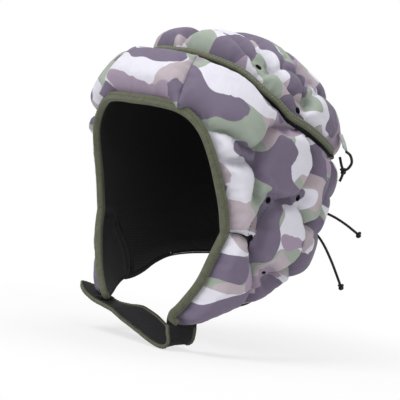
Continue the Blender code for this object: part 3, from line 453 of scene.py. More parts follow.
def panelShape(pads, chart, tops, strips=(), vents=(), gap=padding["gap"], flatHeight=None, lifts=(), creases=()):
    # A panel of pads that share their seams: dense points, faces, heights and a flat layout
    flatten, unflatten = chart
    step = padding["lattice"]
    spots, loops, seamPairs = seamLoops(pads, gap)
    marks = list(spots)
    seams = np.array(list(spots.values()))
    number = {mark: index for index, mark in enumerate(marks)}
    nearVent = np.zeros(len(marks), bool)
    rings = [np.zeros((0, 3))]
    for centre, wide, tall in vents:
        normal = headNormals(centre[None])[0]
        across = unit(np.cross([0.0, 0, 1], normal))
        along = np.cross(normal, across)
        turns = np.linspace(0, math.tau, padding["ventSides"] + 1)[:-1, None]
        rings.append(onHead(centre + across * np.cos(turns) * wide + along * np.sin(turns) * tall))
        nearVent |= np.linalg.norm(seams - centre, axis=1) < max(wide, tall) + padding["ventClear"]
    keepMark = np.nonzero(~nearVent)[0]

    # an even lattice of points, with a row of its own for each crease
    flatSeams = flatten(seams)
    low, high = flatSeams.min(axis=0), flatSeams.max(axis=0)
    grid = np.array([(x, y) for index, y in enumerate(np.arange(low[1], high[1], step * latticeRoom["row"]))
                     for x in np.arange(low[0] + step / 2 * (index % 2), high[0], step)])
    creaseLines = [cordPath(sideSpots(crease[0]), padding["creaseStep"]) for crease in creases]
    if creaseLines:
        rows = flatten(np.vstack([line for line, crease in zip(creaseLines, creases) if crease[3] == "crease"]))
        apart = np.linalg.norm(grid[:, None] - rows[None], axis=2).min(axis=1)
        grid = np.vstack([grid[apart > step * latticeRoom["crease"]], rows])

    # each pad's own points, with their height, their room to the nearest seam and their way along it
    inner, seamHeights = [], {}
    flatLoops = {pad: flatSeams[[number[mark] for mark in loop]] for pad, loop in loops.items()}
    for pad, loop in loops.items():
        own = grid[insideLoop(grid, flatLoops[pad])]
        places = unflatten(own)
        starts = np.array([spots[mark] for mark in loop])
        edges = np.roll(starts, -1, axis=0) - starts
        share, gaps = nearEdges(places, starts, edges)
        clear = gaps.min(axis=1) > step * latticeRoom["seam"]
        flatStrip, seamLift = seamWidths(loop, strips, lifts)
        for index, mark in enumerate(loop):
            seamHeights[mark] = min(seamHeights.get(mark, 1.0), seamLift[index], seamLift[index - 1])
        room = (gaps - flatStrip).min(axis=1)
        nearest = (gaps - flatStrip).argmin(axis=1)
        lengths = np.linalg.norm(edges, axis=1)
        walk = (np.cumsum(lengths) - lengths)[nearest] + share[np.arange(len(own)), nearest] * lengths[nearest]
        for centre, wide, tall in vents:
            away = np.linalg.norm(places - centre, axis=1) - max(wide, tall)
            clear &= away > step * latticeRoom["vent"]
            room = np.minimum(room, away - padding["ventRoom"])
        # each seam's own height fades out with distance from it
        pull = 1 / np.maximum(gaps, 0.0002) ** 4
        seamAt = (pull * seamLift).sum(axis=1) / pull.sum(axis=1)
        up = np.full(len(own), flatHeight) if flatHeight else padHeight(room, tops[pad], seamAt)
        inner.append(np.column_stack([own, up, room, walk])[clear])
    inner = np.vstack(inner)

    order = {index: place for place, index in enumerate(keepMark)}
    lines = [(order[number[a]], order[number[b]]) for a, b in seamPairs
             if number[a] in order and number[b] in order]
    fixed = np.vstack([flatSeams[keepMark], flatten(np.vstack(rings))])
    base, sides = len(keepMark), padding["ventSides"]
    for start in range(base, len(fixed), sides):
        lines += [(start + place, start + (place + 1) % sides) for place in range(sides)]
    made = delaunay_2d_cdt([Vector(spot) for spot in np.vstack([fixed, inner[:, :2]])], lines, [], 0, 1e-7)
    flat = np.array([tuple(spot) for spot in made[0]])
    source = np.array([found[0] if found else -1 for found in made[3]])
    faces = np.array(made[2])
    middles = flat[faces].mean(axis=1)
    kept = np.any([insideLoop(middles, loop) for loop in flatLoops.values()], axis=0)
    inRing = ((source >= base) & (source < len(fixed)))[faces].all(axis=1)
    for centre, wide, tall in vents:
        kept &= ~(inRing & (np.linalg.norm(unflatten(middles) - centre, axis=1) < max(wide, tall)))
    used = np.unique(faces[kept])
    faces, flat, source = np.searchsorted(used, faces[kept]), flat[used], source[used]

    ups, room, walk = np.full(len(flat), flatHeight or padding["seam"]), np.zeros(len(flat)), np.zeros(len(flat))
    for index, mark in enumerate(source):
        if 0 <= mark < base and not flatHeight:
            ups[index] = seamHeights[marks[keepMark[mark]]]
    isInner = source >= len(fixed)
    ups[isInner], room[isInner], walk[isInner] = inner[source[isInner] - len(fixed), 2:].T
    shape = {"foot": unflatten(flat), "up": ups, "faces": faces, "flat": flat, "room": room}
    corner = shape["foot"][faces]
    outward = (np.cross(corner[:, 1] - corner[:, 0], corner[:, 2] - corner[:, 0]) * corner.mean(axis=1)).sum(axis=1)
    faces[outward < 0] = faces[outward < 0][:, ::-1]
    if not flatHeight:
        shape["up"] = dressed(shape, walk, vents, creases, creaseLines)
    return shape


def cordPath(points, step):
    # A smooth curve through the points, read at even steps
    points = np.array(points, float)
    before = np.vstack([points[0] * 2 - points[1], points[:-2]])
    after = np.vstack([points[2:], points[-1] * 2 - points[-2]])
    dense = []
    for a, b, c, d in zip(before, points[:-1], points[1:], after):
        for t in np.linspace(0, 1, 24, endpoint=False):
            dense.append(0.5 * (2 * b + (c - a) * t + (2 * a - 5 * b + 4 * c - d) * t ** 2 +
                (3 * b - 3 * c + d - a) * t ** 3))
    dense = np.array(dense + [points[-1]])
    walked = walkedAlong(dense)
    marks = np.linspace(0, walked[-1], max(2, round(walked[-1] / step)) + 1)
    return np.column_stack([np.interp(marks, walked, dense[:, axis]) for axis in range(3)])


def newObject(name, data):
    made = bpy.data.objects.new(name, data)
    scene.collection.objects.link(made)
    return made


def makeObject(name, shape, material, tidy=True, fold=None):
    # A mesh piece from its points, faces and the cloth's layout at each face's corners
    points, faces, layout = shape
    mesh = bpy.data.meshes.new(name)
    mesh.from_pydata([tuple(spot) for spot in points], [], [tuple(int(mark) for mark in face) for face in faces])
    # the fold attribute is the seam depth that the print turns into painted shade
    if fold is not None:
        mesh.attributes.new("fold", "FLOAT", "POINT").data.foreach_set("value", np.array(fold, np.float32))
    if layout is not None:
        layer = mesh.uv_layers.new(name="cloth")
        layer.data.foreach_set("uv", np.array(layout, np.float32).ravel())
    if tidy:
        work = bmesh.new()
        work.from_mesh(mesh)
        bmesh.ops.recalc_face_normals(work, faces=work.faces)
        work.to_mesh(mesh)
        work.free()
    mesh.shade_smooth()
    mesh.materials.append(material)
    return newObject(name, mesh)


def finishPiece(piece, body, slot, *nodes):
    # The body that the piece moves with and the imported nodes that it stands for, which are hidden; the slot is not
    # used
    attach(piece, body)
    if nodes:
        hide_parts(*nodes)
    return piece


def addPiece(name, shape, material, body, slot, *nodes):
    return finishPiece(makeObject(name, shape, materials[material]), body, slot, *nodes)


def sweptShape(frames, section):
    # Carries a closed section, given across and up, along frames of place, across and up
    places, across, up = (np.array(column) for column in zip(*frames))
    section = np.array(section, float)
    if section.ndim == 2:
        section = np.repeat(section[None], len(places), axis=0)
    count = section.shape[1]
    points = places[:, None] + across[:, None] * section[..., 0:1] + up[:, None] * section[..., 1:2]
    walked = walkedAlong(places)
    girth = walkedAlong(np.vstack([section[0], section[0, :1]]))
    faces, layout = [], []
    for level in range(len(places) - 1):
        for index in range(count):
            steps = ((0, 0), (0, 1), (1, 1), (1, 0))
            faces.append(tuple((level + a) * count + (index + b) % count for a, b in steps))
            layout += [(walked[level + a], girth[index + b]) for a, b in steps]
    last = (len(places) - 1) * count
    faces += [tuple(range(count - 1, -1, -1)), tuple(range(last, last + count))]
    layout += [(walked[0], girth[index]) for index in range(count - 1, -1, -1)]
    layout += [(walked[-1], girth[index]) for index in range(count)]
    return points.reshape(-1, 3), faces, layout


def tubeFrames(path):
    up = np.array([0.13, 0.31, 0.94])
    frames = []
    for place, direction in zip(path, unit(np.gradient(path, axis=0))):
        across = unit(np.cross(direction, up))
        up = unit(np.cross(across, direction))
        frames.append((place, across, up))
    return frames


def edgeFrames(path, inside):
    # Frames along a panel's edge: across points away from the panel, up away from the head
    normals = headNormals(path)
    along = np.gradient(path, axis=0)
    across = unit(np.cross(along, normals))
    if across[0] @ (inside - path[0]) > 0:
        across = -across
    return list(zip(path, across, normals))


# Materials

def colour(code):
    values = [int(code[place:place + 2], 16) / 255 for place in (0, 2, 4)]
    return tuple(v / 12.92 if v <= 0.04045 else ((v + 0.055) / 1.055) ** 2.4 for v in values) + (1.0,)


def addNode(tree, kind, sockets=None, **settings):
    # Adds a node, sets it and its sockets, and links those that are given another node's output
    made = tree.nodes.new(kind if "Node" in kind else "ShaderNode" + kind)
    for key, value in settings.items():
        setattr(made, key, value)
    for key, value in (sockets or {}).items():
        if isinstance(value, bpy.types.NodeSocket):
            tree.links.new(value, made.inputs[key])
        else:
            made.inputs[key].default_value = value
    return made


def sumNode(tree, operation, *values, clamp=False):
    return addNode(tree, "Math", dict(enumerate(values)), operation=operation, use_clamp=clamp).outputs[0]


def vectorNode(tree, operation, *values, scale=None):
    sockets = dict(enumerate(values)) | ({} if scale is None else {"Scale": scale})
    return addNode(tree, "VectorMath", sockets, operation=operation)


def mixColours(tree, share, first, second):
    return addNode(tree, "Mix", {0: share, 6: first, 7: second}, data_type="RGBA").outputs[2]


def remapped(tree, value, low, high, newLow=0.0, newHigh=1.0):
    sockets = {"Value": value, "From Min": low, "From Max": high, "To Min": newLow, "To Max": newHigh}
    return addNode(tree, "MapRange", sockets).outputs[0]


def noiseNode(tree, place, scale, detail=0.0, dimensions="2D"):
    sockets = {"Vector": place, "Scale": scale, "Detail": detail}
    return addNode(tree, "TexNoise", sockets, noise_dimensions=dimensions)


def clothPlace(tree):
    return addNode(tree, "UVMap", uv_map="cloth").outputs[0]


def newGroup(name, inputs, output):
    # A shader node group with a place, one number and one output
    tree = bpy.data.node_groups.new(name, "ShaderNodeTree")
    for label, kind in (("Vector", "NodeSocketVector"), (inputs, "NodeSocketFloat")):
        tree.interface.new_socket(name=label, in_out="INPUT", socket_type=kind)
    tree.interface.new_socket(name=output[0], in_out="OUTPUT", socket_type=output[1])
    return tree, tree.nodes.new("NodeGroupInput").outputs, tree.nodes.new("NodeGroupOutput").inputs[0]


def knitGroup():
    # Fine knit: columns of small V stitches
    tree, given, result = newGroup("knit", "Pitch", ("Height", "NodeSocketFloat"))
    parts = addNode(tree, "SeparateXYZ", {0: given[0]}).outputs
    column, row = (sumNode(tree, "DIVIDE", parts[axis], given[1]) for axis in (0, 1))
    offset = sumNode(tree, "ABSOLUTE", sumNode(tree, "SUBTRACT", sumNode(tree, "FRACT", column), 0.5))
    slant = sumNode(tree, "ADD", sumNode(tree, "MULTIPLY", row, 1.25), offset)
    wave = sumNode(tree, "SINE", sumNode(tree, "MULTIPLY", slant, math.tau))
    ridge = sumNode(tree, "SUBTRACT", 1.0, sumNode(tree, "POWER", sumNode(tree, "MULTIPLY", offset, 2.0), 3.0))
    height = sumNode(tree, "MULTIPLY", sumNode(tree, "MULTIPLY_ADD", wave, 0.35, 0.65), ridge)
    tree.links.new(height, result)
    return tree


printColours = {"base": "b7abb2", "pale": "dddbe5", "sage": "9da79b", "purple": "746a7e", "mauve": "a191a4"}
# name, blotches per metre, threshold, shift and turn, squeeze
printLayers = [
    ("sage", 37.0, 0.500, (0.31, 0.12, 0.4), 0.72),
    ("pale", 38.0, 0.520, (0.83, 0.41, 1.1), 0.75),
    ("mauve", 38.0, 0.660, (0.27, 0.93, 0.2), 0.60),
    ("purple", 40.0, 0.560, (0.57, 0.66, 0.8), 0.72),
]


def camouflageGroup():
    # Crisp blotches in five colours, laid over each other, with a few jagged edges
    tree, given, result = newGroup("camouflage", "Size", ("Color", "NodeSocketColor"))
    scaled = vectorNode(tree, "SCALE", given[0], scale=given[1]).outputs[0]
    warp = noiseNode(tree, scaled, 46.0).outputs["Color"]
    centred = vectorNode(tree, "SUBTRACT", warp, (0.5, 0.5, 0.5)).outputs[0]
    bent = vectorNode(tree, "MULTIPLY_ADD", centred, (0.009, 0.009, 0.0), scaled).outputs[0]
    chips = addNode(tree, "TexVoronoi", {"Vector": scaled, "Scale": 190.0}, voronoi_dimensions="2D",
        distance="CHEBYCHEV").outputs[0]
    gate = remapped(tree, noiseNode(tree, scaled, 33.0, 2.0).outputs[0], 0.56, 0.60)
    chip = sumNode(tree, "MULTIPLY", sumNode(tree, "MULTIPLY", sumNode(tree, "SUBTRACT", chips, 0.4), 0.055), gate)
    made = colour(printColours["base"])
    for name, scale, level, (across, up, turn), squeeze in printLayers:
        moved = addNode(tree, "Mapping", {"Vector": bent, "Location": (across, up, 0), "Rotation": (0, 0, turn),
            "Scale": (squeeze, 1, 1)}).outputs[0]
        value = sumNode(tree, "ADD", noiseNode(tree, moved, scale).outputs[0], chip)
        mask = remapped(tree, value, level - 0.004, level + 0.004)
        made = mixColours(tree, mask, made, colour(printColours[name]))
    tree.links.new(made, result)
    return tree


knitTree = knitGroup()
camouflageTree = camouflageGroup()


def startMaterial(name, roughness, sheen=0.0, specular=0.35):
    made = bpy.data.materials.new(name)
    made.use_nodes = True
    shader = made.node_tree.nodes["Principled BSDF"]
    for label, value in (("Roughness", roughness), ("Sheen Weight", sheen), ("Specular IOR Level", specular)):
        shader.inputs[label].default_value = value
    return made, made.node_tree, shader


def knitHeight(tree, place, pitch):
    return addNode(tree, "Group", {"Vector": place, "Pitch": pitch}, node_tree=knitTree).outputs[0]


def bumped(tree, height, strength, distance, under=None):
    sockets = {"Height": height, "Strength": strength, "Distance": distance} | ({"Normal": under} if under else {})
    return addNode(tree, "Bump", sockets).outputs[0]


def printedKnit():
    made, tree, shader = startMaterial("printedKnit", 0.82, 0.12, 0.25)
    place = clothPlace(tree)
    blotches = addNode(tree, "Group", {"Vector": place, "Size": 1.0}, node_tree=camouflageTree).outputs[0]
    knit = knitHeight(tree, place, 0.00085)
    tone = remapped(tree, noiseNode(tree, place, 90.0, 3.0).outputs[0], 0.0, 1.0, 0.94, 1.05)
    # painted shade: the print darkens down in the seams and lightens a little on the pad tops
    seamShade = addNode(tree, "Attribute", attribute_name="fold").outputs["Fac"]
    scale = sumNode(tree, "MULTIPLY", tone, remapped(tree, seamShade, 0.0, 1.0, 1.06, 0.66))
    # painted shade between the knit's stitches: the print darkens where the knit sinks and lightens on its ridges
    scale = sumNode(tree, "MULTIPLY", remapped(tree, knit, 0.0, 1.0, 0.88, 1.04), scale)
    tree.links.new(vectorNode(tree, "SCALE", blotches, scale=scale).outputs[0], shader.inputs["Base Color"])
    # fine creases of the stretched cloth, under the knit
    stretched = addNode(tree, "Mapping", {"Vector": place, "Rotation": (0, 0, 0.5), "Scale": (1.0, 0.45, 1.0)})
    creased = noiseNode(tree, stretched.outputs[0], 130.0, 2.0).outputs[0]
    tree.links.new(bumped(tree, knit, 0.35, 0.00012, bumped(tree, creased, 0.5, 0.0016)), shader.inputs["Normal"])
    return made


def twoShades(tree, shader, share, dark, light, height, strength, distance=0.0002):
    tree.links.new(mixColours(tree, share, colour(dark), colour(light)), shader.inputs["Base Color"])
    tree.links.new(bumped(tree, height, strength, distance), shader.inputs["Normal"])


def tapeMaterial(name, dark, light, pitch, roughness=0.78, bump=0.6):
    # Woven tape: a fine twill in two close shades
    made, tree, shader = startMaterial(name, roughness, 0.10, 0.3)
    knit = knitHeight(tree, clothPlace(tree), pitch)
    worn = noiseNode(tree, clothPlace(tree), 260.0, 4.0).outputs[0]
    share = sumNode(tree, "MULTIPLY_ADD", worn, 0.7, sumNode(tree, "MULTIPLY_ADD", knit, 0.5, -0.2), clamp=True)
    twoShades(tree, shader, share, dark, light, knit, bump)
    return made


def liningMaterial():
    # Black warp knit mesh, with small holes in rows
    made, tree, shader = startMaterial("meshLining", 0.75, 0.08, 0.3)
    holes = addNode(tree, "TexVoronoi", {"Vector": clothPlace(tree), "Scale": 620.0, "Randomness": 0.12},
        voronoi_dimensions="2D")
    rim = remapped(tree, holes.outputs["Distance"], 0.22, 0.34)
    twoShades(tree, shader, rim, "040405", "1b1b1f", rim, 0.7, 0.0003)
    return made


def threadMaterial(name, dark, light, scale=900.0, roughness=0.6):
    # Twisted thread or fine loops, in two close shades
    made, tree, shader = startMaterial(name, roughness, 0.10, 0.3)
    strands = noiseNode(tree, addNode(tree, "TexCoord").outputs["Object"], scale, 2.0, "3D").outputs[0]
    twoShades(tree, shader, strands, dark, light, strands, 0.6)
    return made


materials = {
    "print": printedKnit(),
    "binding": tapeMaterial("oliveBinding", "4b4e3e", "757862", 0.0007),
    "strap": tapeMaterial("strapWeb", "0b0b0d", "242428", 0.0011, 0.85, 0.8),
    "lace": tapeMaterial("laceBraid", "070708", "1c1c1f", 0.0009, 0.7, 1.0),
    "edging": tapeMaterial("blackEdging", "0a0a0b", "202023", 0.0007),
    "tab": tapeMaterial("tabCloth", "a9b0a8", "d9dcd9", 0.0008),
    "mesh": liningMaterial(),
    "darkThread": threadMaterial("darkThread", "23251b", "3c3e32"),
    "paleThread": threadMaterial("paleThread", "83866f", "a5a892"),
    "blackThread": threadMaterial("blackThread", "101012", "2c2c30"),
    "fuzz": threadMaterial("hookAndLoop", "060607", "26262a", 1500.0, 0.9),
}
print("materials made")

# Padded panels. Heights of the pads' tops above the head form, and the shift of the print on each panel.
panels = {
    "crown": {"top": 0.0125, "foreTop": 0.0138, "rearTop": 0.0125, "print": (0.10, 0.32), "cap": 0.0018},
    "forehead": {"top": 0.0150, "print": (0.42, 0.15), "cap": 0.0018},
    "side": {"top": 0.0132, "temple": 0.0145, "print": (0.71, 0.55), "mirrorPrint": (1.31, 0.21), "cap": 0.0018},
    "nape": {"top": 0.0125, "print": (0.22, 0.81), "mirrorPrint": (0.92, 1.15), "cap": 0.0015},
    "flap": {"top": 0.0125, "print": (0.55, 1.42), "mirrorPrint": (1.75, 0.64), "cap": 0.0018},
}


def pairsOf(names):
    return [set(pair) for pair in zip(names, names[1:])]


bindingStrip, flapStrip, lacingStrip, channelStrip = 0.0068, 0.0054, 0.0085, 0.0042
crownFront = run("crown", 0, 12)
vent, foreheadLift = 0.0027, 0.0095
# Creases and dips: azimuths and heights along the line, depth, width and kind. A ridge has a depth below zero.
sideCreases = [
    ([(45.6, -4.6), (49.4, -5.2), (53.2, -4.8), (57.7, -3.0)], 0.0045, 0.0024, "crease"),
    ([(55.4, 4.2), (55.8, 0.2), (57.0, -3.0)], 0.0030, 0.0016, "crease"),
    ([(36.4, 25.3), (38.1, 21.5), (39.8, 17.4)], 0.0025, 0.0022, "crease"),
    ([(72.2, -14.0), (76.7, -20.4), (80.5, -26.2)], -0.0022, 0.0026, "ridge"),
    ([(69.0, -14.5), (73.5, -21.6), (77.0, -27.5)], 0.0022, 0.0018, "crease"),
    ([(77.1, 20.2), (85.2, 21.9), (95.5, 24.5)], 0.0020, 0.0024, "crease"),
    ([(103.1, 9.0), (112.8, 7.8), (130.0, 3.8)], 0.0035, 0.0030, "crease"),
    ([(118, -14), (122, -22), (121, -34)], 0.0030, 0.0040, "crease"),
]
napeCreases = [
    ([(134, -22), (150, -27), (168, -25)], 0.0032, 0.0036, "crease"),
    ([(126, -58), (146, -54), (167, -57)], 0.0032, 0.0036, "crease"),
]
crownCreases = [
    ([(54.7, 71.1), (65.0, 70.2), (84.0, 73.7)], 0.0035, 0.0032, "crease"),
    ([(80.0, 66.0), (81.5, 61.7), (95.7, 64.1), (108.0, 60.9), (119.0, 57.0), (140, 58)], 0.0055, 0.0042, "crease"),
    ([(70.0, 55.8), (74.8, 58.7), (81.5, 61.7)], 0.0025, 0.0024, "crease"),
    ([(140, 50), (117.3, 48.1), (111.0, 44.8), (107.8, 41.0), (102, 37)], 0.0060, 0.0040, "crease"),
    ([(111.3, 70.4), (101.4, 67.2), (95.7, 64.1)], 0.0030, 0.0030, "crease"),
    ([(118, 62), (150, 63)], 0.0030, 0.0110, "dip"),
]


def bothHalves(creases):
    return creases + [([(-azimuth, height) for azimuth, height in line], *rest) for line, *rest in creases]


# The rear of the crown's front edge stands clear of the pads under it.
crownRise = {"azimuth": (50, 66, 82, 100, 130, 180), "rise": (0.0, 0.0014, 0.0030, 0.0042, 0.0050, 0.0040)}


def riseAt(places):
    turns = np.degrees(np.arctan2(np.abs(places[..., 0]), -places[..., 1]))
    return np.interp(turns, crownRise["azimuth"], crownRise["rise"])


def edgeLifts(names):
    lifts = []
    for first, second in zip(names, names[1:]):
        rise = float(riseAt(corners[first] + corners[second]))
        lifts.append(([{first, second}, set(opposite([first, second]))], padding["seam"] + rise))
    return lifts


shapes = {
    "crown": panelShape(crownPads, topChart(),
                        {pad: panels["crown"]["rearTop" if "back" in pad else "foreTop" if "fore" in pad else "top"]
                         for pad in crownPads},
                        [(pairsOf(crownFront) + pairsOf(opposite(crownFront)), bindingStrip)],
                        [(corners[sign + name], vent, vent) for name in ("ventCrown", "ventSide") for sign in ("", "-")],
                        lifts=edgeLifts(run("crown", 3, 15)), creases=bothHalves(crownCreases)),
    "forehead": panelShape(foreheadPads, sideChart(0, 0), {"forehead": panels["forehead"]["top"]},
                           [(pairsOf(["-face2", "-face1", "face0", "face1", "face2"]), bindingStrip)],
                           gap=0.00005, lifts=[([{"face2", "top25"}, {"-face2", "-top25"}], foreheadLift)]),
    "side": panelShape(sidePads, sideChart(80, 90),
                       {**dict.fromkeys(sidePads, panels["side"]["top"]), "temple": panels["side"]["temple"]},
                       [(pairsOf(run("face", 2, 9)), bindingStrip),
                        (pairsOf(["ventFront", "ear76", "ventLow"]), channelStrip)],
                       [(corners[name], vent, vent) for name in ("ventFront", "ventRear", "ventLow")]
                       + [(sideSpots([(90, -88)])[0], 0.0026, 0.0012)],
                       gap=0.00005, lifts=[([{"face2", "top25"}], foreheadLift)] + edgeLifts(
                           ["top53", "top65", "top70", "top78", "top87", "top95", "top103", "top115", "top128"]),
                       creases=sideCreases),
    "nape": panelShape(napePads, sideChart(148, 150), {"nape": panels["nape"]["top"]},
                       [(pairsOf(run("nape", 0, 3)), lacingStrip)], lifts=edgeLifts(["top128", "top150", "nape3"]),
                       creases=napeCreases),
    "flap": panelShape(flapPads, sideChart(58, 60), {"flap": panels["flap"]["top"]},
                       [(pairsOf(run("flap", 0, 7)), flapStrip)], gap=-0.0005),
}
print("panels laid out:", {name: len(shape["faces"]) for name, shape in shapes.items()})

# How the cloth blows out from its seams in the simulation
swelling = {"frames": 20, "sewnRoom": 0.0004}
clothSettings = {
    "quality": 6, "mass": 0.2, "tension_stiffness": 18, "compression_stiffness": 18, "shear_stiffness": 8,
    "bending_stiffness": 0.4, "use_pressure": True, "uniform_pressure_force": 4.0, "shrink_min": -0.015,
    "vertex_group_mass": "sewn",
}


def swell(shapes):
    # Blows each panel's cloth out from its sewn seams, all in one simulation
    made = {}
    for name, shape in shapes.items():
        shape["surface"] = lifted(shape["foot"], shape["up"])
        cloth = makeObject("cloth_" + name, (shape["surface"], shape["faces"], None), materials["print"],
            tidy=False)
        sewn = cloth.vertex_groups.new(name="sewn")
        sewn.add([int(mark) for mark in np.nonzero(shape["room"] < swelling["sewnRoom"])[0]], 1.0, "REPLACE")
        change = cloth.modifiers.new("Cloth", "CLOTH")
        for key, value in clothSettings.items():
            setattr(change.settings, key, value)
        change.settings.effector_weights.gravity = 0
        change.collision_settings.use_collision = False
        made[name] = cloth
    if made:
        for number in range(1, swelling["frames"] + 1):
            scene.frame_set(number)
        graph = bpy.context.evaluated_depsgraph_get()
        for name, cloth in made.items():
            spots = np.zeros(len(cloth.data.vertices) * 3)
            cloth.evaluated_get(graph).data.vertices.foreach_get("co", spots)
            change = spots.reshape(-1, 3) - shapes[name]["surface"]
            reach = np.linalg.norm(change, axis=1, keepdims=True)
            print("cloth", name, "moved by", round(float(reach.mean() * 1000), 2), "mm on average")
            shapes[name]["surface"] += change * np.minimum(1, panels[name]["cap"] / np.maximum(reach, 1e-9))
            bpy.data.objects.remove(cloth)
        scene.frame_set(1)


swell(shapes)


def pulled(points):
    # The strap draws the right flap inward and up, more toward its lower edge
    share = np.clip((-0.062 - points[:, 2]) / 0.070, 0, 1.2) ** 1.5
    return points + np.column_stack([0.0080 * share, 0 * share, 0.0060 * share])


def closedPanel(name, shape, inner, material, side=1, move=None, shift=(0, 0)):
    # A closed cushion: the cloth over its pads, a flat underside, and walls round the rim and vents
    faces, count = shape["faces"], len(shape["foot"])
    points = np.vstack([shape["surface"], lifted(shape["foot"], inner)]) * (side, 1, 1)
    if move:
        points = move(points)
    seen = dict.fromkeys(map(tuple, np.vstack([faces[:, [0, 1]], faces[:, [1, 2]], faces[:, [2, 0]]])))
    walls = [(second, first, first + count, second + count) for first, second in seen
             if (second, first) not in seen]
    allFaces = [tuple(face) for face in faces] + [tuple(face[::-1] + count) for face in faces] + walls
    if side < 0:
        allFaces = [face[::-1] for face in allFaces]
    layout = (np.vstack([shape["flat"], shape["flat"]]) + shift)[np.concatenate(allFaces)]
    # fold: 1 down in a seam, falling to 0 on the pad tops; the print turns it into painted shade
    fold = np.exp(-(np.maximum(shape["up"] - padding["seam"], 0) / padding["seamShadeReach"]) ** padding["seamShadeSharpness"])
    piece = makeObject(name, (points, allFaces, layout), material, tidy=False, fold=np.tile(fold, 2))
    piece.data.materials.append(materials["mesh"])
    slots = np.arange(len(allFaces)) >= len(faces)
    piece.data.polygons.foreach_set("material_index", slots.astype(np.int32))
    return piece


coverPads = {"crown": crownPads, "forehead": foreheadPads, "side": sidePads, "nape": napePads, "flap": flapPads}
for name in ("crown", "forehead", "left_side", "right_side", "left_nape", "right_nape", "left_flap", "right_flap"):
    part, right = name.split("_")[-1], name.startswith("right")
    piece = closedPanel(name + "_padding", shapes[part], padding["inner"], materials["print"], -1 if right else 1,
        pulled if name == "right_flap" else None, panels[part]["mirrorPrint" if right else "print"])
    foams = [name[:-len(part)] + pad + "_foam" for pad in coverPads[part]]
    finishPiece(piece, name if part == "flap" else "shell", "print", name + "_cover", *foams)
print("padding built")

# Lining
lining = {"top": 0.0009, "inset": 0.0026, "columns": 5, "levels": 30}
halves = (("left", 1, None), ("right", -1, pulled))


def buildLining():
    left, right = [outlines["face"][:3] + outlines["face"][4:] + below + outlines["neck"][1:] + [(180, -81)]
                   for below in (liningUnderFlap, liningBesideFlap)]
    edge = left + [(360 - azimuth, height) for azimuth, height in reversed(right[1:-1])]
    edge.append((360, edge[0][1]))
    columns = np.vstack([np.linspace(a, b, lining["columns"], endpoint=False) for a, b in zip(edge, edge[1:])])
    turns = np.radians(columns[:, 0])
    feet = sideSpots(columns)
    lean = np.arcsin(unit(feet)[:, 2]) + lining["inset"] / np.linalg.norm(feet, axis=1)
    count, levels = len(columns), lining["levels"]
    points, flat = [], []
    for height in (lining["top"], 0.0):
        for share in np.linspace(0, 1, levels + 1)[:-1]:
            tilt = lean + (math.pi / 2 - lean) * share
            points.append(lifted(onHead(rayAt(turns, tilt)), height))
            flat.append(np.column_stack([turns * chartRadius["around"], tilt * chartRadius["upward"]]))
        points.append([[0, 0, head["top"] + height]])
        flat.append([[0, math.pi / 2 * chartRadius["upward"]]])
    stride = count * levels + 1
    faces = []
    for base in (0, stride):
        for level in range(levels):
            for index in range(count):
                low, after = base + level * count, (index + 1) % count
                face = [low + index, low + after, low + count + after, low + count + index]
                if level == levels - 1:
                    face[2:] = [base + stride - 1]
                faces.append(tuple(face[::-1] if base else face))
    faces += [(after, index, stride + index, stride + after) for index, after in ring(list(range(count)))]
    layout = np.vstack(flat)[np.concatenate(faces)]
    addPiece("lining", (np.vstack(points), faces, layout), "mesh", "shell", "mesh", "shell_lining")


buildLining()
flapLining = panelShape(flapLiningPads, sideChart(58, 60), {}, gap=lining["inset"], flatHeight=lining["top"])
flapLining["surface"] = lifted(flapLining["foot"], flapLining["up"])
for half, side, move in halves:
    piece = closedPanel(half + "_flap_inside", flapLining, 0.0, materials["mesh"], side, move)
    finishPiece(piece, half + "_flap", "mesh", half + "_flap_lining")
print("lining built")

# Edge tapes. Sections in millimetres, across outward from the edge and up from the head form.
overEdge = [(1.1, 3.9), (1.5, 3.1), (1.6, 2.0), (1.6, 0.8), (1.4, -0.3), (0.9, -0.9), (0.0, -1.2), (-1.6, -1.25),
            (-3.2, -1.2), (-4.2, -0.9), (-4.2, -0.25), (-2.0, -0.25), (-0.4, -0.2), (0.3, 0.4), (0.5, 1.4),
            (0.4, 2.6), (-0.3, 3.2), (-2.4, 3.3)]
tapes = {
    "bindingSection": [(-5.1, 2.9), (-5.2, 3.6), (-4.8, 4.0), (-3.9, 4.2), (-2.3, 4.35), (-1.0, 4.45),
                       (0.2, 4.4)] + overEdge + [(-4.2, 3.2)],
    "flapSection": [(-4.5, 3.1), (-4.6, 3.8), (-4.1, 4.2), (-2.6, 4.45), (-1.0, 4.5), (0.2, 4.35)] + overEdge,
    "crownSection": [(-4.8, 2.9), (-4.9, 3.6), (-4.5, 4.0), (-3.5, 4.35), (-2.1, 4.5), (-0.8, 4.55), (0.2, 4.4),
                     (0.9, 3.9), (1.2, 3.2), (1.2, 2.3), (0.9, 1.6), (0.5, 1.6), (0.3, 2.6), (-0.4, 3.1),
                     (-2.4, 3.1), (-3.7, 3.0)],
    "edgingSection": [(-0.3, 2.7), (0.3, 2.8), (0.8, 2.5), (0.9, 1.9), (0.7, 1.4), (-0.2, 1.4)],
}
tapeFit = {"share": 0.8, "narrowest": 0.3, "passes": 3, "weights": (0.25, 0.5, 0.25)}


def evened(values):
    return np.convolve(np.pad(values, 1, mode="edge"), tapeFit["weights"], mode="valid")


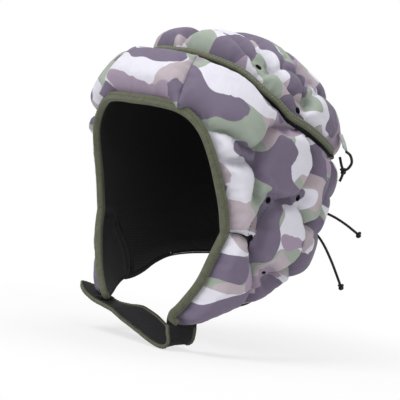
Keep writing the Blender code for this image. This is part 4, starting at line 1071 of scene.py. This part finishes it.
def fittedSections(frames, section):
    # Draws the flange in where the edge turns sharply, so that the tape doesn't fold over itself
    places, across = np.array([frame[0] for frame in frames]), np.array([frame[1] for frame in frames])
    along = unit(np.gradient(places, axis=0))
    speed = np.linalg.norm(np.gradient(places, axis=0), axis=1)
    turning = -(np.gradient(along, axis=0) * across).sum(axis=1) / speed
    for _ in range(tapeFit["passes"]):
        turning = evened(turning)
    reach = np.abs(section[:, 0].min())
    fit = np.clip(tapeFit["share"] / np.maximum(turning, 1e-3) / reach, tapeFit["narrowest"], 1.0)
    for _ in range(tapeFit["passes"]):
        fit = np.minimum(fit, evened(fit))
    sections = np.repeat(section[None], len(frames), axis=0)
    sections[..., 0] = np.where(sections[..., 0] < 0, sections[..., 0] * fit[:, None], sections[..., 0])
    return sections


tapePoints = {}


def edgeTape(name, path, inside, section, body, node, move=None, raised=False):
    frames = edgeFrames(path, inside)
    if raised:
        frames = [(place + up * rise, across, up) for (place, across, up), rise in zip(frames, riseAt(path))]
    points, faces, layout = sweptShape(frames, fittedSections(frames, np.array(tapes[section]) * millimetre))
    if move:
        points = move(points)
    tapePoints[name] = (points.reshape(len(frames), -1, 3), np.array([frame[2] for frame in frames]))
    material, slot = ("edging", "mesh") if section == "edgingSection" else ("binding", "binding")
    addPiece(name, (points, faces, layout), material, body, slot, node)


def mirrorPath(path, side=-1):
    return path * (side, 1, 1)


def longer(path, reach):
    # Carries a path's start on, so that two tapes meet at a fold
    return np.vstack([path[0] + unit(path[0] - path[1]) * reach, path])


tapeEnds = {"face": 0.0006, "flap": 0.0018}
crownPath = edgePath(crownFront)
crownPath = np.vstack([mirrorPath(crownPath)[:0:-1], crownPath])
facePath = longer(edgePath(run("face", 0, 9))[::-1], tapeEnds["face"])
facePath = np.vstack([facePath, mirrorPath(facePath)[-2::-1]])
hem = edgePath(run("crown", 12, 15))[1:]
hem = np.vstack([hem, mirrorPath(hem)[-2::-1]])
above = np.array([0, 0, 0.20])
edgeTape("crown_binding_tape", crownPath, above, "crownSection", "shell", "crown_binding", raised=True)
edgeTape("face_binding_tape", facePath, above, "bindingSection", "shell", "face_binding")
edgeTape("crown_rear_hem", hem, above, "edgingSection", "shell", "crown_rear_edging", raised=True)
flapPath = longer(edgePath(run("flap", 0, 7)), tapeEnds["flap"])
neckPath = edgePath(run("neck", 0, 9) + run("nape", 0, 3))
for half, side, move in halves:
    edgeTape(half + "_flap_tape", mirrorPath(flapPath, side), np.array([0.075 * side, -0.035, -0.105]),
        "flapSection", half + "_flap", half + "_flap_binding", move)
    edgeTape(half + "_neck_hem", mirrorPath(neckPath, side), np.array([0.09 * side, 0.06, -0.04]), "edgingSection",
        "shell", half + "_neck_edging")
print("tapes built")

# Chin strap: middle line and the directions from its front edge to its back edge, in millimetres.
strap = {
    "halfWidth": 0.0125, "thickness": 0.0022, "edge": 0.0032, "edgeLap": 0.0006, "edgeThickness": 0.0034,
    "step": 0.0022, "rootInset": 0.0003,
    "route": [((40.8, -50.6, -137.2), (12.4, 20.6, 0)), ((41.8, -51.2, -142), (10.6, 20.8, 0)),
              ((42, -51.4, -147.6), (6, 21.5, 1)), ((38.5, -51.6, -151.5), (2, 21, 3)),
              ((31, -51.8, -151.2), (1, 21, 6)), ((20, -52, -147.5), (1, 21, 9)), ((5, -52, -141.2), (0, 20, 13)),
              ((-10, -52.5, -136.5), (0, 20, 11)), ((-23, -53, -134.3), (0, 23, 3)),
              ((-35, -53.5, -133), (0, 24, 0)), ((-44, -54, -131), (0, 24, 0)), ((-51, -54.5, -128), (0, 24, 0))],
    "tip": (-66, -58, -121), "tipShape": ((0.15, 0.98), (0.30, 0.93), (0.45, 0.83), (0.60, 0.70), (0.74, 0.55),
                                          (0.86, 0.38), (0.94, 0.24)),
    "rootSpots": [(50, -109, -0.0032), (45.5, -117, -0.0034), (42, -124, -0.0046)],
    "rootFoot": ((0.1, 0.1, 7.5), (0, 0, 1.7), (0, 0, -0.8)), "rootTrim": 0.0085, "rootTrimLength": 0.026,
}


def strapStations(places, widths, half):
    path = cordPath(places, strap["step"])
    share, knots = walkedAlong(path), walkedAlong(np.array(places))
    widths = unit(np.array(widths, float))
    across = np.column_stack([np.interp(share / share[-1], knots / knots[-1], widths[:, axis])
                              for axis in range(3)])
    along = unit(np.gradient(path, axis=0))
    across = unit(across - along * (across * along).sum(axis=1, keepdims=True))
    return [(a, b, c, half) for a, b, c in zip(path, across, np.cross(across, along))]


def roundedSection(halfWidth, halfThickness, steps=5):
    turns = np.linspace(-math.pi / 2, math.pi / 2, steps)
    return [(sign * (halfWidth - halfThickness + halfThickness * math.cos(turn)),
        sign * halfThickness * math.sin(turn)) for sign in (1, -1) for turn in turns]


routePlaces = [np.array(place) * millimetre for place, _ in strap["route"]]
routeWidths = [np.array(width, float) for _, width in strap["route"]]
rootPlaces = [lifted(sideSpots([(azimuth, height)]), [depth])[0] for azimuth, height, depth in strap["rootSpots"]]
rootWidths = [np.cross([0, 0, 1], headNormals(spot)[0]) for spot in rootPlaces] + [routeWidths[0]] * 3
rootPlaces += [routePlaces[0] + np.array(rise) * millimetre for rise in strap["rootFoot"]]
rootStations = strapStations(rootPlaces, rootWidths, strap["halfWidth"] - strap["rootInset"])
# its front edge is cut back where the flap is narrow
walked = walkedAlong(np.array([station[0] for station in rootStations]))
trims = strap["rootTrim"] * np.clip(1 - walked / strap["rootTrimLength"], 0, 1) ** 0.8
rootStations = [(a + unit(b) * trim / 2, b, c, h - trim / 2) for (a, b, c, h), trim in zip(rootStations, trims)]
stations = strapStations(routePlaces, routeWidths, strap["halfWidth"])
base, across, up, half = stations[-1]
reach = np.array(strap["tip"]) * millimetre - base
across = unit(across - reach * (across @ reach) / (reach @ reach))
tipUp = np.cross(across, unit(reach))
for share, narrow in strap["tipShape"]:
    stations.append((base + reach * share, across, tipUp, half * narrow))


def band(name, stations, inset, body, node):
    sections = [roundedSection(half - inset, strap["thickness"] / 2) for *_, half in stations]
    shape = sweptShape([station[:3] for station in stations], sections)
    addPiece(name, shape, "strap", body, "strap", node)


band("strap_sewn_end", rootStations, 0, "left_flap", "strap_root")
band("strap_band", stations[:-1], strap["edge"] - strap["edgeLap"], "strap", "chin_strap")
middle = strap["edge"] / 2
rim = [(a - b * (h - middle), -b, c) for a, b, c, h in stations]
rim.append((base + reach * 0.985, unit(reach), tipUp))
rim += [(a + b * (h - middle), b, c) for a, b, c, h in stations[::-1]]
addPiece("strap_edge_tape", sweptShape(rim, roundedSection(middle, strap["edgeThickness"] / 2)), "binding", "strap",
    "binding", "chin_strap_binding")
print("strap built")

# Laces
laces = {
    "radius": 0.0011, "knotRadius": 0.0010, "knotLobes": 1.6, "knotDepth": 1.3, "step": 0.0012,
    "tabHalf": 0.0045, "tabThickness": 0.0012,
    "height": 0.0056, "crossing": 0.0027, "turn": 10, "eyelets": (-45, -55, -65, -75),
    "knotHeight": -39, "knotLift": 0.0095,
    "upper": [(3.4, 104.5, -40.5), (20, 108, -39), (41, 111, -42), (58, 111, -47), (75, 110, -54)],
    "lower": [(3.0, 104.5, -43.5), (18, 109, -52), (35, 111, -63), (50, 110, -78), (65, 110, -99)],
    "tab": [(72.6, 70.4, 25), (75, 71.2, 21), (77.6, 71, 17), (80, 70, 13.5)], "tabAcross": (-5, 8, 3),
    "tieKnot": (81, 70, -3.5), "tieStrand": [(75, 71, 7), (78, 70.5, 1), (81, 70, -3.5), (80.5, 70, -8), (79, 70, -12)],
    "tieBow": [(81, 70, 12.2), (86, 70, 9.5), (88.3, 70, 4), (85.5, 70, -1), (81, 70, -3.5)],
}


def tube(path, radius=laces["radius"], sides=10):
    turns = np.linspace(0, math.tau, sides + 1)[:-1]
    return sweptShape(tubeFrames(path), np.column_stack([np.cos(turns), np.sin(turns)]) * radius)


def tightKnot(place, size, tilt=0.4):
    # An overhand knot pulled tight, as a closed trefoil
    turns = np.linspace(0, math.tau, 60)
    x = np.sin(turns) + laces["knotLobes"] * np.sin(2 * turns)
    y = np.cos(turns) - laces["knotLobes"] * np.cos(2 * turns)
    z = -laces["knotDepth"] * np.sin(3 * turns)
    loop = np.column_stack([x, z * math.cos(tilt) - y * math.sin(tilt), y * math.cos(tilt) + z * math.sin(tilt)])
    return tube(place + loop * size / (1 + laces["knotLobes"]), laces["knotRadius"], 8)


def laceRoute(key, side=1):
    return cordPath(np.array(laces[key]) * millimetre * (side, 1, 1), laces["step"])


def joinShapes(shapes):
    points, faces, layout, base = [], [], [], 0
    for part, partFaces, partLayout in shapes:
        points.append(part)
        faces += [tuple(mark + base for mark in face) for face in partFaces]
        layout += partLayout
        base += len(part)
    return np.vstack(points), faces, layout


def napeSpot(azimuth, height, lift):
    return lifted(sideSpots([(azimuth, height)]), lift)[0]


turnSpots = [(laces["turn"] * (1 if index % 2 else -1), height) for index, height in enumerate(laces["eyelets"])]
over = [napeSpot(180 + azimuth, height, laces["height"]) for azimuth, height in turnSpots]
under = [napeSpot(180 - azimuth, height, laces["height"] + laces["crossing"]) for azimuth, height in turnSpots]
knotSpot = napeSpot(180, laces["knotHeight"], laces["knotLift"])
lacing = tube(cordPath([knotSpot] + over + under[::-1] + [knotSpot], laces["step"]))
addPiece("rear_lacing", joinShapes([lacing, tightKnot(knotSpot, 0.0024)]), "lace", "shell", "lace", "rear_lace")

for key in ("upper", "lower"):
    path = laceRoute(key)
    tail = addPiece("lace_tail_" + key, tube(path), "lace", "shell", "lace", "lace_end_" + key)
    knot = addPiece("lace_tail_" + key + "_knot", tightKnot(path[-1], 0.0021), "lace", "shell", "lace")
    float(walkedAlong(path)[-1])

for half, side, _ in halves:
    flip = (side, 1, 1)
    tab = strapStations(np.array(laces["tab"]) * millimetre * flip,
        [np.array(laces["tabAcross"], float) * flip] * len(laces["tab"]), laces["tabHalf"])
    shape = sweptShape([station[:3] for station in tab],
        roundedSection(laces["tabHalf"], laces["tabThickness"] / 2))
    addPiece(half + "_tab_cloth", shape, "tab", "shell", "tab", half + "_tab")
    knot = tightKnot(np.array(laces["tieKnot"]) * millimetre * flip, 0.0022)
    shape = joinShapes([tube(laceRoute("tieStrand", side)), tube(laceRoute("tieBow", side)), knot])
    addPiece(half + "_tab_tie", shape, "lace", "shell", "lace", half + "_tie")
print("laces built")

# Hook and loop patches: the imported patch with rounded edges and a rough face.
patches = {"round": 0.0003, "rough": 0.00012, "grain": 1400, "weld": 0.00001, "sharp": 0.9, "longest": 0.0012}


def softPatch(node, name, body):
    mesh = bpy.data.meshes.new(name)
    work = bmesh.new()
    work.from_mesh(frame["nodes"][node].data)
    bmesh.ops.remove_doubles(work, verts=work.verts, dist=patches["weld"])
    bmesh.ops.recalc_face_normals(work, faces=work.faces)
    sharp = [edge for edge in work.edges if len(edge.link_faces) == 2 and edge.calc_face_angle() > patches["sharp"]]
    bmesh.ops.bevel(work, geom=sharp, offset=patches["round"], segments=2, affect="EDGES", clamp_overlap=True)
    long = [edge for edge in work.edges if edge.calc_length() > patches["longest"]]
    bmesh.ops.subdivide_edges(work, edges=long, cuts=3, use_grid_fill=True)
    bmesh.ops.triangulate(work, faces=work.faces)
    work.normal_update()
    shifts = [vertex.normal * patches["rough"] * noise.noise(vertex.co * patches["grain"]) for vertex in work.verts]
    for vertex, shift in zip(work.verts, shifts):
        vertex.co += shift
    work.to_mesh(mesh)
    work.free()
    mesh.shade_smooth()
    mesh.materials.append(materials["fuzz"])
    finishPiece(newObject(name, mesh), body, "hook", node)


softPatch("hook_patch", "hook_face", "strap")
softPatch("loop_patch", "loop_face", "right_flap")

# A black strip lies along each flap's fold: painted shade, a dark sheet that stands in for the shadow in the crease.
fold = {"line": [(56, -60.6), (61, -60.8), (66, -61.8), (69.5, -63.6)], "reach": 0.0070, "lift": 0.0005,
    "thickness": 0.0007, "rows": 11, "columns": 16}


# painted shadow: a dark sheet laid under the crease at a flap's fold
def foldStrip(half, side, move):
    line = np.array(fold["line"], float)
    rows, columns = fold["rows"], fold["columns"]
    azimuths = np.linspace(line[0, 0], line[-1, 0], columns)
    heights = np.interp(azimuths, line[:, 0], line[:, 1])
    offsets = np.linspace(fold["reach"], -fold["reach"], rows) / millimetre
    places = np.array([(azimuth, height + offset) for offset in offsets
                       for azimuth, height in zip(azimuths, heights)])
    spots, count = sideSpots(places), rows * columns
    points = np.vstack([lifted(spots, fold["lift"] + fold["thickness"]), lifted(spots, fold["lift"])])
    points = mirrorPath(points, side)
    if move:
        points = move(points)
    grid = np.arange(count).reshape(rows, columns)
    faces = [(grid[r, c], grid[r + 1, c], grid[r + 1, c + 1], grid[r, c + 1]) for r in range(rows - 1)
             for c in range(columns - 1)]
    faces += [tuple(mark + count for mark in face[::-1]) for face in faces]
    rim = np.concatenate([grid[0, :-1], grid[:-1, -1], grid[-1, :0:-1], grid[:0:-1, 0]])
    faces += [(a, b, b + count, a + count) for a, b in zip(rim, np.roll(rim, -1))]
    flat = np.column_stack([np.radians(places[:, 0]) * chartRadius["around"], places[:, 1] * millimetre])
    layout = np.tile(flat, (2, 1))[np.concatenate(faces)]
    piece = makeObject(half + "_fold_shade_strip", (points, faces, layout), materials["edging"])
    upper, lower = points[grid[3, columns // 2]], points[grid[-4, columns // 2]]
    tuple(upper)
    tuple(lower)
    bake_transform(piece)


for half, side, move in halves:
    foldStrip(half, side, move)

# Stitches: short grains of thread laid along a row by one node tree.
stitches = {"lift": 0.00004, "above": 0.0001, "width": 0.00042}
zigzag = {"Pitch": 0.0027, "Length": 0.0022, "Width": stitches["width"], "Sway": 0.0010}
plainRow = {"Pitch": 0.0030, "Length": 0.0020, "Width": stitches["width"], "Sway": 0.0}


def stitchTree():
    tree = bpy.data.node_groups.new("stitchRows", "GeometryNodeTree")
    tree.is_modifier = True
    for label in ("Geometry", "Pitch", "Length", "Width", "Sway", "Material"):
        kind = label if label in ("Geometry", "Material") else "Float"
        tree.interface.new_socket(name=label, in_out="INPUT", socket_type="NodeSocket" + kind)
    tree.interface.new_socket(name="Geometry", in_out="OUTPUT", socket_type="NodeSocketGeometry")
    given = tree.nodes.new("NodeGroupInput").outputs
    rows = addNode(tree, "GeometryNodeMeshToCurve", {"Mesh": given["Geometry"]}).outputs[0]
    spaced = addNode(tree, "GeometryNodeResampleCurve", {"Curve": rows, "Length": given["Pitch"]}, mode="LENGTH")
    up = addNode(tree, "GeometryNodeInputNamedAttribute", {"Name": "up"},
        data_type="FLOAT_VECTOR").outputs["Attribute"]
    along = addNode(tree, "GeometryNodeInputTangent").outputs[0]
    side = vectorNode(tree, "CROSS_PRODUCT", up, along).outputs[0]
    parity = sumNode(tree, "MODULO", addNode(tree, "GeometryNodeInputIndex").outputs[0], 2.0)
    swing = sumNode(tree, "MULTIPLY", sumNode(tree, "MULTIPLY_ADD", parity, 2.0, -1.0), given["Sway"])
    forward = vectorNode(tree, "SCALE", along, scale=given["Length"]).outputs[0]
    leading = vectorNode(tree, "ADD", forward, vectorNode(tree, "SCALE", side, scale=swing).outputs[0]).outputs[0]
    turn = addNode(tree, "FunctionNodeAxesToRotation", {0: leading, 1: up}, primary_axis="X", secondary_axis="Z")
    grain = addNode(tree, "GeometryNodeMeshUVSphere", {"Segments": 6, "Rings": 5, "Radius": 0.5})
    size = addNode(tree, "CombineXYZ", {0: given["Length"], 1: given["Width"], 2: given["Width"]})
    laid = addNode(tree, "GeometryNodeInstanceOnPoints", {"Points": spaced.outputs[0], "Instance": grain.outputs[0],
        "Rotation": turn.outputs[0], "Scale": size.outputs[0]})
    real = addNode(tree, "GeometryNodeRealizeInstances", {0: laid.outputs[0]})
    smooth = addNode(tree, "GeometryNodeSetShadeSmooth", {0: real.outputs[0]})
    dyed = addNode(tree, "GeometryNodeSetMaterial", {"Geometry": smooth.outputs[0], "Material": given["Material"]})
    tree.links.new(dyed.outputs[0], tree.nodes.new("NodeGroupOutput").inputs[0])
    return tree


stitchNodes = stitchTree()


def stitchRows(name, rows, body, material, slot, sizes):
    # rows are pairs of points and the directions away from the cloth at them
    mesh = bpy.data.meshes.new(name + "_rows")
    spots, edges, ups = [], [], []
    for row, away in rows:
        edges += [(len(spots) + index, len(spots) + index + 1) for index in range(len(row) - 1)]
        spots += [tuple(spot) for spot in row + unit(away) * stitches["lift"]]
        ups.append(unit(away))
    mesh.from_pydata(spots, edges, [])
    mesh.attributes.new("up", "FLOAT_VECTOR", "POINT").data.foreach_set("vector",
        np.vstack(ups).astype(np.float32).ravel())
    source = newObject(name + "_rows", mesh)
    change = source.modifiers.new("stitches", "NODES")
    change.node_group = stitchNodes
    values = {"Material": materials[material], **sizes}
    for item in stitchNodes.interface.items_tree:
        if item.in_out == "INPUT" and item.name in values:
            change[item.identifier] = values[item.name]
    graph = bpy.context.evaluated_depsgraph_get()
    baked = bpy.data.meshes.new_from_object(source.evaluated_get(graph))
    bpy.data.objects.remove(source)
    baked.name = name
    finishPiece(newObject(name, baked), body, slot)


def tapeRow(name, index, skip=2):
    points, ups = tapePoints[name]
    return points[skip:-skip, index], ups[skip:-skip]


def surfaceRow(shape, names, inward, toward):
    # A row beside a seam, on the cloth
    path = edgePath(names)
    side = unit(np.cross(headNormals(path), np.gradient(path, axis=0)))
    if side[len(side) // 2] @ (sideSpots([toward])[0] - path[len(path) // 2]) < 0:
        side = -side
    path = onHead(path + side * inward)
    normals = headNormals(path)
    nearest = np.linalg.norm(shape["foot"][None] - path[:, None], axis=2).argsort(axis=1)[:, :3]
    lift = ((shape["surface"] - shape["foot"])[nearest] * normals[:, None]).sum(axis=2).mean(axis=1)
    return lifted(path, lift + stitches["above"])[1:-1], normals[1:-1]


stitchRows("face_stitching", [tapeRow("face_binding_tape", 4)], "shell", "darkThread", "binding", zigzag)
for half in ("left", "right"):
    flap = half + "_flap"
    stitchRows(flap + "_stitching", [tapeRow(flap + "_tape", 3)], flap, "darkThread", "binding", zigzag)
stitchRows("crown_stitching", [tapeRow("crown_binding_tape", index) for index in (3, 5)], "shell", "paleThread",
    "binding", plainRow)
channel, seamRows = ["ventFront", "ear76", "ventLow"], []
for names, inward, toward in ((["top128", "seam130", "seam129", "ear117"], 0.0014, (120, -10)),
        (channel, 0.0030, (60, -45)), (channel, 0.0030, (95, -55)), (["ventFront", "ventRear"], 0.0012, (92, -20))):
    row, away = surfaceRow(shapes["side"], names, inward, toward)
    seamRows += [(row, away), (mirrorPath(row), mirrorPath(away))]
stitchRows("seam_stitching", seamRows, "shell", "blackThread", "print", plainRow)
clear = slice(5, -5)  # away from the sewn end
strapRows = [(np.array([place + side * up * (strap["edgeThickness"] / 2) for place, _, up in rim])[clear],
    np.array([side * up for _, _, up in rim])[clear]) for side in (1, -1)]
stitchRows("strap_stitching", strapRows, "strap", "darkThread", "binding", plainRow)
print("stitches laid")


# Camera
def placeCamera():
    turn, tilt, roll = (math.radians(cameraPlace[key]) for key in ("azimuth", "elevation", "roll"))
    back = Vector((math.sin(turn) * math.cos(tilt), -math.cos(turn) * math.cos(tilt), math.sin(tilt)))
    level = Vector((math.cos(turn), math.sin(turn), 0))
    upright = back.cross(level)
    right = level * math.cos(roll) + upright * math.sin(roll)
    top = upright * math.cos(roll) - level * math.sin(roll)
    data = bpy.data.cameras.new("camera")
    data.sensor_width = cameraPlace["sensor"]
    span = cameraPlace["imageSize"] / cameraPlace["pixelsPerMetre"]
    data.lens = data.sensor_width * cameraPlace["distance"] / span
    data.clip_start = cameraPlace["clipStart"]
    # the camera stands on the line through the origin and turns toward the middle of the picture
    across, upward = ((cameraPlace["imageSize"] / 2 - pixel) / cameraPlace["pixelsPerMetre"]
                      for pixel in cameraPlace["originPixel"])
    place = back * cameraPlace["distance"]
    facing = (place - right * across + top * upward).normalized()
    side = (right - facing * right.dot(facing)).normalized()
    camera = newObject("camera", data)
    turned = Matrix((side, facing.cross(side), facing)).transposed().to_4x4()
    camera.matrix_world = Matrix.Translation(place) @ turned
    scene.camera = camera
    return back, right, top


back, right, top = placeCamera()

# Light, floor and backdrop
lights = {
    "key": {"place": (-0.55, 1.15, 0.65), "size": 0.6, "power": 14.0},
    "fill": {"place": (0.8, 0.0, 1.1), "size": 0.9, "power": 4.5},
    "top": {"place": (0.5, 1.2, -0.3), "size": 0.8, "power": 6.0},
}
for name, values in lights.items():
    data = bpy.data.lights.new(name, "AREA")
    data.size, data.energy = values["size"], values["power"]
    lamp = newObject(name, data)
    x, y, z = values["place"]
    lamp.location = right * x + top * y + back * z
    lamp.rotation_euler = (-lamp.location).to_track_quat("-Z", "Y").to_euler()


def whiteWorld():
    # White where the camera sees it, and dimmer as light
    scene.world = bpy.data.worlds.new("studio")
    scene.world.use_nodes = True
    tree = scene.world.node_tree
    tree.nodes.clear()
    rays = addNode(tree, "LightPath").outputs
    seen = sumNode(tree, "MAXIMUM", rays["Is Camera Ray"], sumNode(tree, "MAXIMUM", rays["Is Glossy Ray"],
        rays["Is Transmission Ray"]))
    ambient, plain = (addNode(tree, "Background", {"Color": (1, 1, 1, 1), "Strength": strength}).outputs[0]
                      for strength in (0.30, 1.0))
    mixed = addNode(tree, "MixShader", {0: seen, 1: ambient, 2: plain})
    tree.links.new(mixed.outputs[0], addNode(tree, "OutputWorld").inputs[0])


floor = {"drop": 0.0005, "reach": 6.0, "grey": 0.9, "fade": (0.10, 0.34), "glow": (0.72, 1.0)}


def paleFloor():
    # A white floor that fades into the backdrop and keeps the soft shadow
    low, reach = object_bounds()[0].z - floor["drop"], floor["reach"]
    mesh = bpy.data.meshes.new("floor")
    mesh.from_pydata([(x * reach, y * reach, low) for x, y in ((-1, -1), (1, -1), (1, 1), (-1, 1))], [],
        [(0, 1, 2, 3)])
    made, tree, shader = startMaterial("floorWhite", 0.9)
    shader.inputs["Base Color"].default_value = (floor["grey"],) * 3 + (1,)
    glow = addNode(tree, "Emission", {"Color": (1, 1, 1, 1), "Strength": 1.0})
    place = addNode(tree, "TexCoord").outputs["Object"]
    away = vectorNode(tree, "LENGTH", vectorNode(tree, "MULTIPLY", place, (1, 1, 0)).outputs[0]).outputs["Value"]
    seen = sumNode(tree, "MULTIPLY", addNode(tree, "LightPath").outputs["Is Camera Ray"],
        remapped(tree, away, *floor["fade"], *floor["glow"]))
    share = addNode(tree, "MixShader", {0: seen, 1: shader.outputs[0], 2: glow.outputs[0]})
    tree.links.new(share.outputs[0], tree.nodes["Material Output"].inputs[0])
    mesh.materials.append(made)
    newObject("floor", mesh)


whiteWorld()
paleFloor()
print("camera and light placed")
